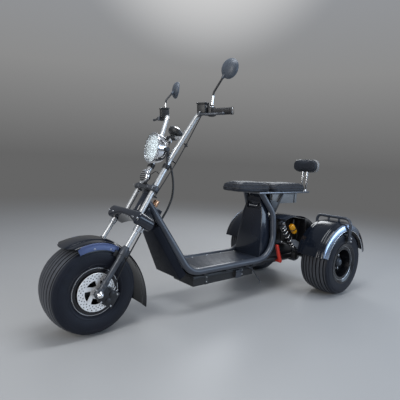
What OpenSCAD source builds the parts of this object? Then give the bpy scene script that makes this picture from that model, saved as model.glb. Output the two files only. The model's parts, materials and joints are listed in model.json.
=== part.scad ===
/* [Wheels] */
// Distance from the front axle to the rear axle
wheelbase = 1660; // [1560:10:1760]
// Distance between the centre planes of the rear wheels
track = 700; // [660:10:760]
// Outer diameter of the tyres
tyre_d = 450; // [430:5:470]
// Width of the tyres
tyre_w = 217; // [205:1:218]
// Diameter over the rim flanges
rim_flange_d = 242; // [232:1:250]
// Diameter of the front brake disc
disc_d = 192; // [180:1:198]

/* [Steering] */
// Rake of the fork from the vertical
rake = 31; // [28:0.5:34]
// Half the distance between the fork legs
leg_y = 131; // [130:1:140]
// Diameter of the fork lowers
lower_d = 34; // [32:1:36]
// Diameter of the chrome stanchions
stanchion_d = 27; // [24:1:28]
// Half the distance between the riser tubes of the handlebar
riser_y = 74; // [68:1:80]
// Diameter of the riser and handlebar tubes
bar_d = 28; // [24:1:30]
// Distance of the steering axis behind the fork legs
steer_back = 52; // [48:1:60]
// Height of the grips above the ground
grip_z = 1143; // [1103:5:1183]
// Half width of the handlebar at the grip ends
grip_end_y = 326; // [310:2:340]

/* [Frame] */
// Diameter of the side rails
rail_d = 40; // [34:1:44]
// Half the distance between the side rails at the floor
rail_y = 142; // [136:1:150]
// Height of the rail centres at the floor
floor_z = 246; // [236:2:260]
// Thickness of the floor panel
floor_t = 8; // [4:1:12]
// Width of the battery box
battery_w = 197; // [170:1:210]

/* [Seat] */
// Height of the seat pan's underside
pan_z = 684; // [660:4:710]
// Length of the rider seat
rider_l = 296; // [270:2:300]
// Length of the passenger seat
passenger_l = 400; // [360:5:410]
// Width of the seats
seat_w = 246; // [220:2:260]
// Width of the backrest pad
backrest_w = 212; // [190:2:240]

/* [Rear] */
// Outer radius of the rear mudguards
mudguard_r = 290; // [280:1:296]
// Width of the rear mudguards
mudguard_w = 232; // [232:1:240]

/* [Hidden] */
$fn = 96;
// Running clearance between pieces that seat on each other
seat_gap = 0.3;
// Radial clearance of a shaft in its bore
shaft_gap = 0.05;
sheet = 3;
// How much slimmer a bend is than its tube, and how far it runs into it
bend_step = 0.15;
bend_lap = 2;
tyre_r = tyre_d / 2;
rim_half = 94;
flange_r = rim_flange_d / 2;
flange_t = 5;
barrel_r = flange_r - 18;
// Angle of the rear mudguards' ends above the axle
guard_low = 14;
// The front axle's place, which centres the whole vehicle on the origin
front_x = (wheelbase + mudguard_r * cos(guard_low) - tyre_r) / 2;
rear_x = -wheelbase;
rear_y = track / 2;
axle_r = 7;
shaft_r = 15;
housing_r = 30;
housing_y = rear_y - tyre_w / 2 - 14;
disc_y = rim_half + 8;
disc_t = 3.5;
hub_end_y = disc_y + disc_t;

// Places along the fork, measured from the axle up the legs
lower_top = 250;
crown_low = 384;
crown_h = 58;
crown_top = crown_low + crown_h;
plate_low = 580;
plate_t = 24;
plate_top = plate_low + plate_t;
riser_back = 24;
stem_r = 15;
head_r = 30;

// Vectors
function unit(v) = v / norm(v);
function bend_angle(a, b, c) = acos(unit(b - a) * unit(c - b));
function trim(a, b, c, r) = r * tan(bend_angle(a, b, c) / 2);

// Draws its children with their z axis along the given direction
module aim(from, to, side = [0, 1, 0]) {
    w = unit(to - from);
    u = unit(cross(abs(w * side) > 0.99 ? [1, 0, 0] : side, w));
    v = cross(w, u);
    multmatrix([
        [u[0], v[0], w[0], from[0]],
        [u[1], v[1], w[1], from[1]],
        [u[2], v[2], w[2], from[2]],
        [0, 0, 0, 1]])
        children();
}

// A bar with round ends, its outer length given by the points at the ends' centres
module capsule(from, to, d) {
    long = norm(to - from);
    half = [for (i = [0:9]) [d / 2 * sin(i * 10), -d / 2 * cos(i * 10)]];
    aim(from, to)
        rotate_extrude()
            polygon(concat(half, [for (i = [9:-1:0]) [half[i][0], long - half[i][1]]]));
}

// A round bar between two points
module bar(from, to, d) {
    aim(from, to)
        cylinder(d = d, h = norm(to - from));
}

// One bend of a tube at the middle one of three points, a hair slimmer and run a little into both stretches
module elbow(a, b, c, r, d) {
    angle = bend_angle(a, b, c);
    lap = bend_lap / r * 180 / PI;
    start = b - unit(b - a) * trim(a, b, c, r);
    along = unit(b - a);
    normal = unit(cross(along, unit(c - b)));
    inward = cross(normal, along);
    multmatrix([
        [-inward[0], along[0], normal[0], start[0] + inward[0] * r],
        [-inward[1], along[1], normal[1], start[1] + inward[1] * r],
        [-inward[2], along[2], normal[2], start[2] + inward[2] * r],
        [0, 0, 0, 1]])
        rotate([0, 0, -lap])
            rotate_extrude(angle = angle + 2 * lap)
                translate([r, 0])
                    circle(d = d - 2 * bend_step);
}

// A bent tube along points, each inner point with its bend radius
module tube(points, radii, d) {
    last = len(points) - 1;
    for (i = [0:last - 1]) {
        cut_a = i == 0 ? 0 : trim(points[i - 1], points[i], points[i + 1], radii[i]);
        cut_b = i == last - 1 ? 0 : trim(points[i], points[i + 1], points[i + 2], radii[i + 1]);
        way = unit(points[i + 1] - points[i]);
        bar(points[i] + way * cut_a, points[i + 1] - way * cut_b, d);
    }
    for (i = [1:last - 1])
        elbow(points[i - 1], points[i], points[i + 1], radii[i], d);
}

// A round section swept along a path in small steps
module sweep(path, d, sides) {
    n = len(path);
    rings = [for (i = [0:n - 1])
        let (w = unit(path[min(i + 1, n - 1)] - path[max(i - 1, 0)]),
             u = unit(cross(abs(w[1]) > 0.9 ? [1, 0, 0] : [0, 1, 0], w)),
             v = cross(w, u))
        for (k = [0:sides - 1])
            path[i] + (u * cos(k * 360 / sides) + v * sin(k * 360 / sides)) * d / 2];
    walls = [for (i = [0:n - 2], k = [0:sides - 1])
        [i * sides + k, (i + 1) * sides + k, (i + 1) * sides + (k + 1) % sides, i * sides + (k + 1) % sides]];
    ends = [[for (k = [0:sides - 1]) k], [for (k = [0:sides - 1]) n * sides - 1 - k]];
    polyhedron(rings, concat(walls, ends));
}

module both_sides() {
    for (side = [0, 1])
        mirror([0, side, 0])
            children();
}

// The fork's own frame: z along the steering axis, x square to it, origin on the front axle
module on_fork() {
    raked(rake)
        children();
}
// The crowns hold the legs at a wider angle than the steering axis
tree_rake = 2.5;
module on_legs() {
    raked(rake + tree_rake)
        children();
}
module raked(angle) {
    translate([0, 0, tyre_r])
        rotate([0, -angle, 0])
            children();
}
function raked_point(x, y, z, angle) = [
    x * cos(angle) - z * sin(angle),
    y,
    tyre_r + x * sin(angle) + z * cos(angle)];
function fork_point(x, y, z) = raked_point(x, y, z, rake);
function leg_point(x, y, z) = raked_point(x, y, z, rake + tree_rake);

// A bar across the vehicle at a place in side view
module across(x, z, r, y0, y1) {
    translate([x, y0, z])
        rotate([-90, 0, 0])
            cylinder(r = r, h = y1 - y0, $fn = r > 100 ? 360 : $fn);
}

// Wheels
module tyre() {
    crown_arc = 330;
    side_arc = 95;
    side_r = tyre_r - 55;
    color("#1c1c1e")
        rotate([-90, 0, 0])
            rotate_extrude()
                difference() {
                    intersection() {
                        translate([tyre_r - crown_arc, 0])
                            circle(crown_arc, $fn = 240);
                        translate([side_r, tyre_w / 2 - side_arc])
                            circle(side_arc);
                        translate([side_r, side_arc - tyre_w / 2])
                            circle(side_arc);
                        translate([barrel_r + seat_gap, -tyre_w])
                            square([tyre_r, 2 * tyre_w]);
                    }
                    for (side = [0, 1])
                        mirror([0, side])
                            translate([0, rim_half - flange_t - seat_gap])
                                square([flange_r + seat_gap, tyre_w]);
                }
}

// A dished rim with a pierced web and a hub bored for its axle
module rim(bore_r, hub_r, hub_from, hub_to) {
    web_y = 30;
    web_t = 10;
    web_dish = 26;
    barrel_t = 6;
    inner_r = barrel_r - barrel_t;
    knee_r = hub_r + 30;
    edge = rim_half - flange_t;
    rotate([-90, 0, 0])
        rotate_extrude()
            polygon([
                [bore_r, hub_from],
                [hub_r, hub_from],
                [hub_r, web_y],
                [knee_r, web_y],
                [inner_r, web_y - web_dish],
                [inner_r, -rim_half],
                [flange_r, -rim_half],
                [flange_r, -edge],
                [barrel_r, -edge],
                [barrel_r, edge],
                [flange_r, edge],
                [flange_r, rim_half],
                [inner_r, rim_half],
                [inner_r, web_y - web_dish + web_t],
                [knee_r, web_y + web_t],
                [hub_r, web_y + web_t],
                [hub_r, hub_to],
                [bore_r, hub_to]]);
}

module front_tyre() {
    translate([0, 0, tyre_r])
        tyre();
}
module front_rim() {
    color("#26272a")
        translate([0, 0, tyre_r])
            rim(axle_r + shaft_gap, 24, -disc_y, disc_y - seat_gap);
}
module front_disc() {
    window_n = 5;
    ring_w = 36;
    window_in = 31;
    window_out = disc_d / 2 - ring_w;
    window = concat(arc_points(window_in, -90, -60), arc_points(window_out, -34, -82));
    color("#c9ccd0")
        translate([0, disc_y, tyre_r])
            rotate([-90, 0, 0])
                difference() {
                    cylinder(d = disc_d, h = disc_t);
                    translate([0, 0, -1])
                        cylinder(r = axle_r + 6, h = disc_t + 2);
                    for (i = [0:window_n - 1])
                        rotate([0, 0, i * 360 / window_n])
                            translate([0, 0, -1])
                                linear_extrude(disc_t + 2)
                                    polygon(window);
                }
}
function arc_points(r, from, to) = [
    for (i = [0:6])
        let (a = from + (to - from) * i / 6)
        [r * cos(a), r * sin(a)]];
module rear_tyre(side) {
    translate([rear_x, side * rear_y, tyre_r])
        tyre();
}
module rear_rim(side) {
    stub_in = 150;
    color("#26272a")
        translate([rear_x, side * rear_y, tyre_r])
            mirror([0, side < 0 ? 1 : 0, 0]) {
                rim(1, 34, -rim_half, 60);
                across(0, 0, shaft_r, -rear_y + housing_y - stub_in, 64);
            }
}
module rear_tyre_left() { rear_tyre(1); }
module rear_tyre_right() { rear_tyre(-1); }
module rear_rim_left() { rear_rim(1); }
module rear_rim_right() { rear_rim(-1); }

// Front axle with its nuts and spacers
module front_axle() {
    leg_face = leg_y + lower_d / 2;
    nut_h = 12;
    color("#b8bbc0")
        translate([0, 0, tyre_r]) {
            across(0, 0, axle_r, -leg_face - nut_h, leg_face + nut_h);
            both_sides() {
                across(0, 0, 13, leg_face + seat_gap, leg_face + nut_h - 2);
                across(0, 0, 12, hub_end_y + 0.5, leg_y - lower_d / 2 - seat_gap);
            }
        }
}
collar_d = lower_d + 6;
collar_low = 213;
// Half outline of a lower leg: rounded foot, two grooves, slim waist and clamp collar
function leg_outline(r, collar_r) = [
    [0, -24], [r - 10, -24], [r - 4, -21], [r - 1, -15], [r, -8],
    [r, 24], [r - 1.4, 27], [r - 1.4, 33], [r, 36],
    [r, 46], [r - 1.4, 49], [r - 1.4, 55], [r, 58],
    [r, 68], [r - 2.2, 74], [r - 2.2, 180], [r, 186],
    [r, collar_low - 4], [collar_r, collar_low], [collar_r, lower_top - 2], [collar_r - 2, lower_top], [0, lower_top]];
module fork_lowers() {
    color("#3a3d42")
        both_sides()
            difference() {
                on_legs()
                    translate([0, leg_y, 0])
                        rotate_extrude()
                            polygon(leg_outline(lower_d / 2, collar_d / 2));
                across(0, tyre_r, axle_r + shaft_gap, 0, 2 * leg_y);
                on_legs()
                    translate([0, leg_y, lower_top - 60])
                        cylinder(d = stanchion_d + 2 * shaft_gap, h = 61);
            }
}
module stanchions() {
    color("#d9dce0")
        both_sides()
            on_legs()
                translate([0, leg_y, lower_top - 58])
                    cylinder(d = stanchion_d, h = crown_top - lower_top + 58 - 14);
}
// Arched casting that carries the stanchions and the riser tubes
module lower_crown() {
    end_r = 34;
    arch_r = 300;
    arch_rise = 22;
    depth = 54;
    color("#2b2d31")
        difference() {
            on_fork()
                translate([-steer_back - 26, 0, 0])
                    rotate([90, 0, 90])
                        linear_extrude(depth + steer_back)
                            difference() {
                                union() {
                                    translate([-leg_y, crown_top - 2 * end_r])
                                        square([2 * leg_y, 2 * end_r]);
                                    for (y = [-leg_y, leg_y])
                                        translate([y, crown_top - end_r])
                                            circle(r = end_r);
                                }
                                translate([0, crown_low + arch_rise - arch_r])
                                    circle(r = arch_r, $fn = 200);
                            }
            both_sides() {
                on_legs()
                    translate([0, leg_y, crown_low - 60])
                        cylinder(d = stanchion_d + 2 * shaft_gap, h = crown_h + 60 - 14 + seat_gap);
                on_fork()
                    translate([-riser_back, riser_y, crown_top - 26])
                        cylinder(d = bar_d + 2 * shaft_gap, h = 27);
            }
        }
    color("#8d9096")
        on_fork()
            translate([-steer_back, 0, crown_low + crown_h / 2])
                cylinder(r = stem_r, h = plate_top - crown_low - crown_h / 2 + 12);
}
module upper_crown() {
    end_r = 28;
    color("#202226")
        difference() {
            on_fork()
                translate([0, 0, plate_low])
                    linear_extrude(plate_t) {
                        translate([-steer_back, -riser_y])
                            square([steer_back + 4, 2 * riser_y]);
                        for (y = [-riser_y, riser_y])
                            translate([-riser_back, y])
                                circle(r = end_r);
                        translate([-steer_back, 0])
                            circle(r = 26);
                    }
            both_sides()
                on_fork()
                    translate([-riser_back, riser_y, plate_low - 1])
                        cylinder(d = bar_d + 2 * shaft_gap, h = plate_t + 2);
            on_fork()
                translate([-steer_back, 0, plate_low - 1])
                    cylinder(r = stem_r + shaft_gap, h = plate_t + 2);
        }
}
// Handlebar: each side one tube from the lower crown up and out to the grip
bar_turn = fork_point(-riser_back, riser_y, 775);
bar_knee = [-550, 150, grip_z];
bar_end = [-623, grip_end_y, grip_z + 6];
bar_points = [fork_point(-riser_back, riser_y, crown_top - 26 + seat_gap), bar_turn, bar_knee, bar_end];
bar_radii = [0, 120, 60, 0];
bar_way = unit(bar_end - bar_knee);
// Cross brace between the two sides, which carries the instrument and the loom's socket
brace = bar_turn + (bar_knee - bar_turn) * 0.47;
brace_r = 9;
socket_r = 11;
socket_l = 26;
steer_way = [-sin(rake), 0, cos(rake)];
module handlebar() {
    color("#c9ccd0") {
        both_sides()
            tube(bar_points, bar_radii, bar_d);
        across(brace[0], brace[2], brace_r, -brace[1], brace[1]);
        bar([brace[0], 0, brace[2]] - steer_way * socket_l, [brace[0], 0, brace[2]], 2 * socket_r);
    }
}
function on_bar(t) = bar_knee + bar_way * t;
// Stations along the straight end of the bar: lever perch, switch pod, grip
perch_from = 36;
pod_from = 56;
grip_from = 88;
module grips() {
    grip_d = bar_d + 8;
    flange_d = bar_d + 20;
    color("#161618")
        both_sides()
            difference() {
                union() {
                    bar(on_bar(grip_from), bar_end + bar_way * 8, grip_d);
                    bar(on_bar(grip_from), on_bar(grip_from + 5), flange_d);
                }
                bar(on_bar(pod_from), bar_end + bar_way * seat_gap, bar_d + 2 * shaft_gap);
            }
}
module switch_pods() {
    color("#1b1c1f")
        both_sides()
            difference() {
                bar(on_bar(pod_from), on_bar(grip_from - seat_gap), bar_d + 22);
                bar(on_bar(perch_from), on_bar(grip_from + 10), bar_d + 2 * shaft_gap);
            }
}
// Lever blades in front of the grips, each on its own perch
module brake_levers() {
    reach = [52, 0, -20];
    blade_l = 138;
    perch = on_bar((perch_from + pod_from) / 2);
    tank = [25, 44, 44];
    tank_up = bar_d / 2 + 13;
    color("#222326")
        both_sides()
            difference() {
                union() {
                    aim(perch, bar_end)
                        translate([tank_up, -13, -26])
                            cube(tank);
                    aim(perch, bar_end)
                        translate([0, -8, -9])
                            cube([tank_up + 1, 18, 18]);
                    bar(on_bar(perch_from), on_bar(pod_from - seat_gap), bar_d + 12);
                    bar(perch, perch + reach, 15);
                    bar(perch + reach - bar_way * 6, perch + reach + bar_way * blade_l, 13);
                }
                bar(on_bar(perch_from - 10), on_bar(pod_from + 10), bar_d + 2 * shaft_gap);
            }
}

// Mirrors: stem, shell and glass on each side
mirror_head = [-612, 296, 1368];
mirror_head_right = [-696, 291, 1334];
mirror_d = 108;
mirror_t = 34;
mirror_way = unit([1, 0.12, 0.1]);
module mirror_stems() {
    color("#2a2b2e") {
        mirror_stem(mirror_head);
        mirror([0, 1, 0])
            mirror_stem(mirror_head_right);
    }
}
module mirror_stem(head) {
    foot = on_bar((pod_from + grip_from) / 2) + [0, 0, bar_d / 2 + 11 + seat_gap];
    corner = foot + [-4, 6, 76];
    difference() {
        tube([foot, corner, head], [0, 30, 0], 11);
        aim(head, head + mirror_way)
            mirror_blank(seat_gap);
    }
}
// A mirror's round body, grown by a gap
module mirror_blank(gap) {
    intersection() {
        sphere(d = mirror_d + 2 * gap);
        translate([0, 0, -mirror_t / 2 - gap])
            cylinder(d = mirror_d + 2 * gap, h = mirror_t + 2 * gap);
    }
}
// Draws its children at both mirrors' heads
module at_mirrors() {
    aim(mirror_head, mirror_head + mirror_way)
        children();
    mirror([0, 1, 0])
        aim(mirror_head_right, mirror_head_right + mirror_way)
            children();
}
module mirror_shells() {
    color("#17181a")
        at_mirrors()
            difference() {
                mirror_blank(0);
                translate([0, 0, -mirror_t / 2 - 1])
                    cylinder(d = mirror_d - 26, h = 6);
            }
}
module mirror_glasses() {
    color("#c4cad2")
        at_mirrors()
            translate([0, 0, -mirror_t / 2 + 1])
                cylinder(d = mirror_d - 26.6, h = 3.7);
}

// Headlight on the riser tubes
lamp_d = 165;
lamp_tilt = 8;
lamp_c = [-345, 0, 941];
module on_lamp() {
    translate(lamp_c)
        rotate([0, 90 - lamp_tilt, 0])
            children();
}
module shell_outline(grow) {
    intersection() {
        translate([0, -6])
            circle(lamp_d / 2 + 12 + grow);
        translate([0, -92 - grow])
            square([lamp_d / 2 + grow, 86 + 2 * grow]);
    }
}
module headlight_shell() {
    color("#d4d8dc")
        on_lamp()
            rotate_extrude()
                difference() {
                    shell_outline(0);
                    translate([0, -22])
                        square([lamp_d / 2 - 6, 30]);
                }
}
module headlight_lens() {
    dome_r = 190;
    color("#eef2f6")
        on_lamp()
            rotate_extrude()
                intersection() {
                    translate([0, 12 - dome_r])
                        circle(dome_r, $fn = 200);
                    translate([0, -21.7])
                        square([lamp_d / 2 - 6.3, 60]);
                }
}
// Clamps on the riser tubes with an arm each to the side of the headlight
module lamp_bracket() {
    clamp_at = 720;
    clamp_h = 24;
    arm_d = 12;
    ear = [-392, lamp_d / 2 + 4, 934];
    color("#202226")
        both_sides()
            difference() {
                union() {
                    on_fork()
                        translate([-riser_back, riser_y, clamp_at])
                            cylinder(d = bar_d + 12, h = clamp_h);
                    bar(fork_point(-riser_back, riser_y + 6, clamp_at + clamp_h / 2), ear, arm_d);
                    across(ear[0], ear[2], 13, ear[1] - 12, ear[1] + 6);
                }
                on_fork()
                    translate([-riser_back, riser_y, clamp_at - 20])
                        cylinder(d = bar_d + 2 * shaft_gap, h = clamp_h + 40);
                on_lamp()
                    rotate_extrude()
                        shell_outline(seat_gap);
            }
}
module horn() {
    horn_d = 76;
    centre = fork_point(24, 0, 640);
    color("#c2c6cb")
        translate(centre)
            rotate([0, 90 - 12, 0]) {
                cylinder(d = horn_d, h = 20, center = true);
                translate([0, 0, -28])
                    cylinder(d = 40, h = 20);
            }
    color("#c2c6cb")
        bar(fork_point(-4, 0, plate_top + seat_gap), fork_point(-4, 0, 644), 12);
}
module instrument() {
    tilt = 38;
    stand = 34;
    color("#15171a")
        difference() {
            translate([brace[0], 0, brace[2]])
                rotate([0, -tilt, 0]) {
                    translate([0, 0, stand - 14])
                        cylinder(d = 92, h = 30);
                    cylinder(d = 34, h = stand);
                }
            across(brace[0], brace[2], brace_r + seat_gap, -brace[1], brace[1]);
            bar([brace[0], 0, brace[2]] - steer_way * 40, [brace[0], 0, brace[2]], 2 * socket_r + 2 * seat_gap);
        }
}

// Front mudguard over the tyre, its skirts inside the fork legs
module guard_sheet(r, w, drop, from, to) {
    rotate([-90, 0, 0])
        rotate([0, 0, -to])
            rotate_extrude(angle = to - from)
                guard_section(r, w, drop);
}
// Cross section of a mudguard: raised middle, shoulders and turned-down skirts
module guard_section(r, w, drop) {
    crown = w * 0.26;
    step = 8;
    difference() {
        polygon(guard_outline(r, w, drop, crown, step, 0));
        polygon(guard_outline(r, w, drop, crown, step, sheet));
    }
}
function guard_outline(r, w, drop, crown, step, inset) = concat(
    guard_half(r, w, drop, crown, step, inset, -1),
    [for (i = [7:-1:0]) guard_half(r, w, drop, crown, step, inset, 1)[i]]);
function guard_half(r, w, drop, crown, step, inset, side) =
    let (fall = min(24, drop - step - 2))
    [
        [r - drop - (inset > 0 ? 1 : 0), side * (w / 2 - inset)],
        [r - step - fall, side * (w / 2 - 3 - inset)],
        [r - step - fall * 0.5 - inset * 0.4, side * (w / 2 - 7 - inset * 0.9)],
        [r - step - fall * 0.2 - inset * 0.7, side * (w / 2 - 12 - inset * 0.7)],
        [r - step - inset, side * (w / 2 - 21)],
        [r - step - inset, side * (crown + inset / 2)],
        [r - inset * 0.9 - 1, side * (crown - 6)],
        [r - inset, side * (crown - 14)]];

front_guard_r = 255;
// The front mudguard's angles round the axle: tip, end of its deep skirts, start of its open tail
guard_tip = 56;
skirt_end = 126;
tail_from = 134;
// Its tail bends round a centre further off, on the line from the axle away from the start of the tail
tail_off = 145;
tail_to = 185;
front_guard_w = 2 * leg_y - collar_d - 2 * seat_gap;
module front_mudguard() {
    deep = 52;
    shallow = 15;
    low_r = front_guard_r - deep - 4;
    slant = guard_tip + 11;
    lap = 0.8;
    color("#16181c")
        translate([0, 0, tyre_r])
            difference() {
                union() {
                    guard_sheet(front_guard_r, front_guard_w, deep, guard_tip, skirt_end);
                    guard_sheet(front_guard_r, front_guard_w, shallow, skirt_end - 2, tail_from);
                    translate([-tail_off * cos(tail_from), 0, -tail_off * sin(tail_from)])
                        guard_sheet(front_guard_r + tail_off + lap, front_guard_w + 2 * lap, shallow,
                            tail_from - 2, tail_to);
                }
                translate([0, front_guard_w, 0])
                    rotate([90, 0, 0])
                        linear_extrude(2 * front_guard_w)
                            polygon([
                                [front_guard_r * cos(guard_tip) + 1, front_guard_r * sin(guard_tip) - 4],
                                [low_r * cos(slant), low_r * sin(slant)],
                                [low_r, 0]]);
            }
}
// Stays from the fork lowers to the mudguard
module mudguard_stays() {
    color("#202226")
        both_sides()
            difference() {
                on_legs()
                    translate([-34, front_guard_w / 2 + seat_gap, 190])
                        cube([68, leg_y - front_guard_w / 2 - lower_d / 2 + 3, 30]);
                on_legs()
                    translate([0, leg_y, 0]) {
                        cylinder(d = lower_d + 2 * seat_gap, h = lower_top);
                        translate([0, 0, collar_low - 6])
                            cylinder(d = collar_d + 2 * seat_gap, h = lower_top);
                    }
            }
}
module brake_caliper() {
    color("#2c2e31")
        difference() {
            on_legs()
                translate([-112, disc_y - 2.3, -36])
                    cube([92, leg_y - lower_d / 2 - disc_y + 10, 84]);
            on_legs()
                translate([0, leg_y, -100])
                    cylinder(d = lower_d + 2 * seat_gap, h = 300);
            translate([0, 0, tyre_r])
                across(0, 0, disc_d / 2 + 6, 0, disc_y + disc_t + 5);
        }
}
hose_points = [leg_point(-70, leg_y - 14, 49), leg_point(-52, leg_y - 11, 110), leg_point(-34, leg_y + 3, 200),
    fork_point(-42, leg_y + 6, crown_low - 10.3)];
module brake_hose() {
    color("#111214")
        tube(hose_points, [0, 60, 60, 0], 7);
}

// Frame
module head_tube() {
    neck_l = 76;
    color("#141519")
        difference() {
            on_fork() {
                translate([-steer_back, 0, crown_top + 8])
                    cylinder(r = head_r, h = plate_low - crown_top - 16);
                translate([-steer_back - head_r - neck_l, -44, crown_top + 12])
                    cube([neck_l + 12, 88, 70]);
            }
            on_fork()
                translate([-steer_back, 0, crown_top])
                    cylinder(r = stem_r + shaft_gap, h = plate_low - crown_top);
        }
}
// Side rail: neck, floor, riser
rail_points = [
    [-318, 24, 655],
    [-545, rail_y, floor_z],
    [rear_x + 385, rail_y, floor_z],
    [rear_x + 377, rail_y - 30, 545],
    [rear_x + 480, 66, 708]];
rail_radii = [0, 110, 165, 150, 0];
module rail() {
    color("#15171b")
        difference() {
            tube(rail_points, rail_radii, rail_d);
            translate([rear_x + 260, -300, pan_z - seat_gap])
                cube([600, 600, 200]);
            on_fork()
                translate([-steer_back - head_r - 76 - seat_gap, -44 - seat_gap, crown_top + 12 - seat_gap])
                    cube([300, 88 + 2 * seat_gap, 400]);
        }
}
module rail_left() { rail(); }
module rail_right() {
    mirror([0, 1, 0])
        rail();
}
// Half width between the rails where the leg shield and fairing lie, from the neck to the floor
knee = rail_points[1];
neck = rail_points[0];
leg_way = unit([knee[0] - neck[0], 0, knee[2] - neck[2]]);
leg_out = [-leg_way[2], 0, leg_way[0]];
// Gland on the leg shield where the loom goes in
gland_z = 512;
gland_l = 12;
function leg_x(z) = neck[0] + (knee[0] - neck[0]) * (neck[2] - z) / (neck[2] - knee[2]);
function rail_half(x) = neck[1] + (knee[1] - neck[1]) * (neck[0] - x) / (neck[0] - knee[0]);

// Panel between the rails from the neck down to the floor
module leg_shield() {
    top_z = 530;
    low_z = floor_z + 60;
    slack = rail_d / 2 * 1.04 + seat_gap;
    sheet_x = 6;
    color("#1a1d22")
        intersection() {
            translate([0, 200, 0])
                rotate([90, 0, 0])
                    linear_extrude(400)
                        polygon([
                            [leg_x(top_z), top_z],
                            [leg_x(low_z), low_z],
                            [leg_x(low_z) + sheet_x, low_z],
                            [leg_x(top_z) + sheet_x, top_z]]);
            linear_extrude(1000)
                polygon([
                    [leg_x(top_z) + sheet_x, rail_half(leg_x(top_z) + sheet_x) - slack],
                    [knee[0], rail_half(knee[0]) - slack],
                    [knee[0], slack - rail_half(knee[0])],
                    [leg_x(top_z) + sheet_x, slack - rail_half(leg_x(top_z) + sheet_x)]]);
        }
    color("#1a1d22")
        bar([leg_x(gland_z) + 1, 0, gland_z], [leg_x(gland_z), 0, gland_z] - leg_out * gland_l, 26);
}
// Deep front skin ahead of the rails
module front_fairing() {
    top_z = 520;
    low_z = floor_z - 8;
    front_gap = (rail_d / 2 + seat_gap) / -leg_way[2];
    depth = 34;
    color("#14161a")
        intersection() {
            translate([0, 250, 0])
                rotate([90, 0, 0])
                    linear_extrude(500)
                        polygon([
                            [leg_x(top_z) + front_gap, top_z],
                            [leg_x(low_z) + front_gap, low_z],
                            [leg_x(low_z) + front_gap + depth, low_z - 30],
                            [leg_x(top_z) + front_gap + depth, top_z - 30]]);
            linear_extrude(1000)
                polygon([
                    [leg_x(top_z) + 60, rail_half(leg_x(top_z))],
                    [knee[0] - 10, rail_half(knee[0]) + 4],
                    [knee[0] - 10, -rail_half(knee[0]) - 4],
                    [leg_x(top_z) + 60, -rail_half(leg_x(top_z))]]);
        }
}
floor_front = -614;
floor_rear = rear_x + 502;
panel_half = rail_y - rail_d / 2 - seat_gap;
// The rails lean in where they bend up behind the floor, so the panel is a little narrower
floor_half = panel_half - 1.2;
module floor_panel() {
    color("#1d2026")
        translate([floor_rear, -floor_half, floor_z])
            cube([floor_front - floor_rear, 2 * floor_half, floor_t]);
}
battery_h = 62;
battery_top = floor_z - 43;
battery_front = floor_front + 6;
battery_l = battery_front - floor_rear - 38;
// Rear face of the box that carries the trailing arms, its half width and its underside
box_rear = rear_x + 415;
box_half = 98;
box_low = 190;
module floor_frame() {
    beam_w = 30;
    color("#15171b") {
        for (share = [0.15, 0.5, 0.85])
            translate([battery_front - battery_l * share - beam_w / 2, -panel_half, battery_top + seat_gap])
                cube([beam_w, 2 * panel_half, floor_z - battery_top - 2 * seat_gap]);
        translate([box_rear, -box_half, box_low])
            cube([floor_rear + 36 - box_rear, 2 * box_half, floor_z - box_low - seat_gap]);
    }
}
module battery_box() {
    color("#17191d")
        translate([battery_front - battery_l, 0, battery_top - battery_h]) {
            translate([0, -battery_w / 2, 0])
                cube([battery_l, battery_w, battery_h]);
            translate([-3, -battery_w / 2 - 3, battery_h - 20])
                cube([battery_l + 6, battery_w + 6, 6]);
            translate([battery_l * 0.26, battery_w / 2 - 1, 8])
                cube([46, 23, 46]);
        }
}
riser_low = floor_z + seat_gap;
riser_top = pan_z - seat_gap;
module seat_riser() {
    color("#1b1e24")
        intersection() {
            translate([0, 200, 0])
                rotate([90, 0, 0])
                    linear_extrude(400)
                        polygon([
                            [floor_rear - seat_gap, riser_low],
                            [floor_rear - 48, riser_top],
                            [floor_rear - 76, riser_top],
                            [floor_rear - 106, 560],
                            [floor_rear - 110, 330],
                            [floor_rear - 70, riser_low]]);
            translate([rear_x + 260, 0, 0])
                rotate([90, 0, 90])
                    linear_extrude(400)
                        polygon([
                            [panel_half - 1, riser_low],
                            [panel_half - 31, 545],
                            [44, riser_top],
                            [-44, riser_top],
                            [31 - panel_half, 545],
                            [1 - panel_half, riser_low]]);
            difference() {
                translate([rear_x, -300, 0])
                    cube([800, 600, 800]);
                translate([floor_rear - 60, -56, 578])
                    cube([60, 112, 46]);
            }
        }
}
module ignition_lock() {
    color("#7a5a40")
        on_fork()
            translate([-steer_back - head_r - 40, 0, crown_top + 82 + seat_gap])
                cylinder(d = 34, h = 42);
}

// Seat
pan_front = rear_x + 530;
pan_rear = rear_x - 30;
pan_t = 13;
pan_half = 112;
pan_top = pan_z + pan_t;
seat_h = 64;
seat_z = pan_top + seat_gap;
module seat_pan() {
    color("#9a9da3")
        translate([pan_rear, -pan_half, pan_z])
            cube([pan_front - pan_rear, 2 * pan_half, pan_t]);
}
module seat_struts() {
    top = [rear_x + 275, 102, pan_z - seat_gap];
    foot = [rear_x + 355, 102, 556];
    color("#202226")
        both_sides() {
            difference() {
                union() {
                    bar(foot, top + (top - foot) * 0.2, 18);
                    translate([0, 106, 0])
                        rotate([90, 0, 0])
                            linear_extrude(8)
                                polygon([
                                    [foot[0], foot[2]],
                                    [foot[0] + 60, foot[2] + 88],
                                    [foot[0] - 40, foot[2] + 66]]);
                }
                translate([rear_x + 60, -300, pan_z - seat_gap])
                    cube([600, 600, 200]);
                tube(rail_points, rail_radii, rail_d + 2 * seat_gap);
            }
        }
}
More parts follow.
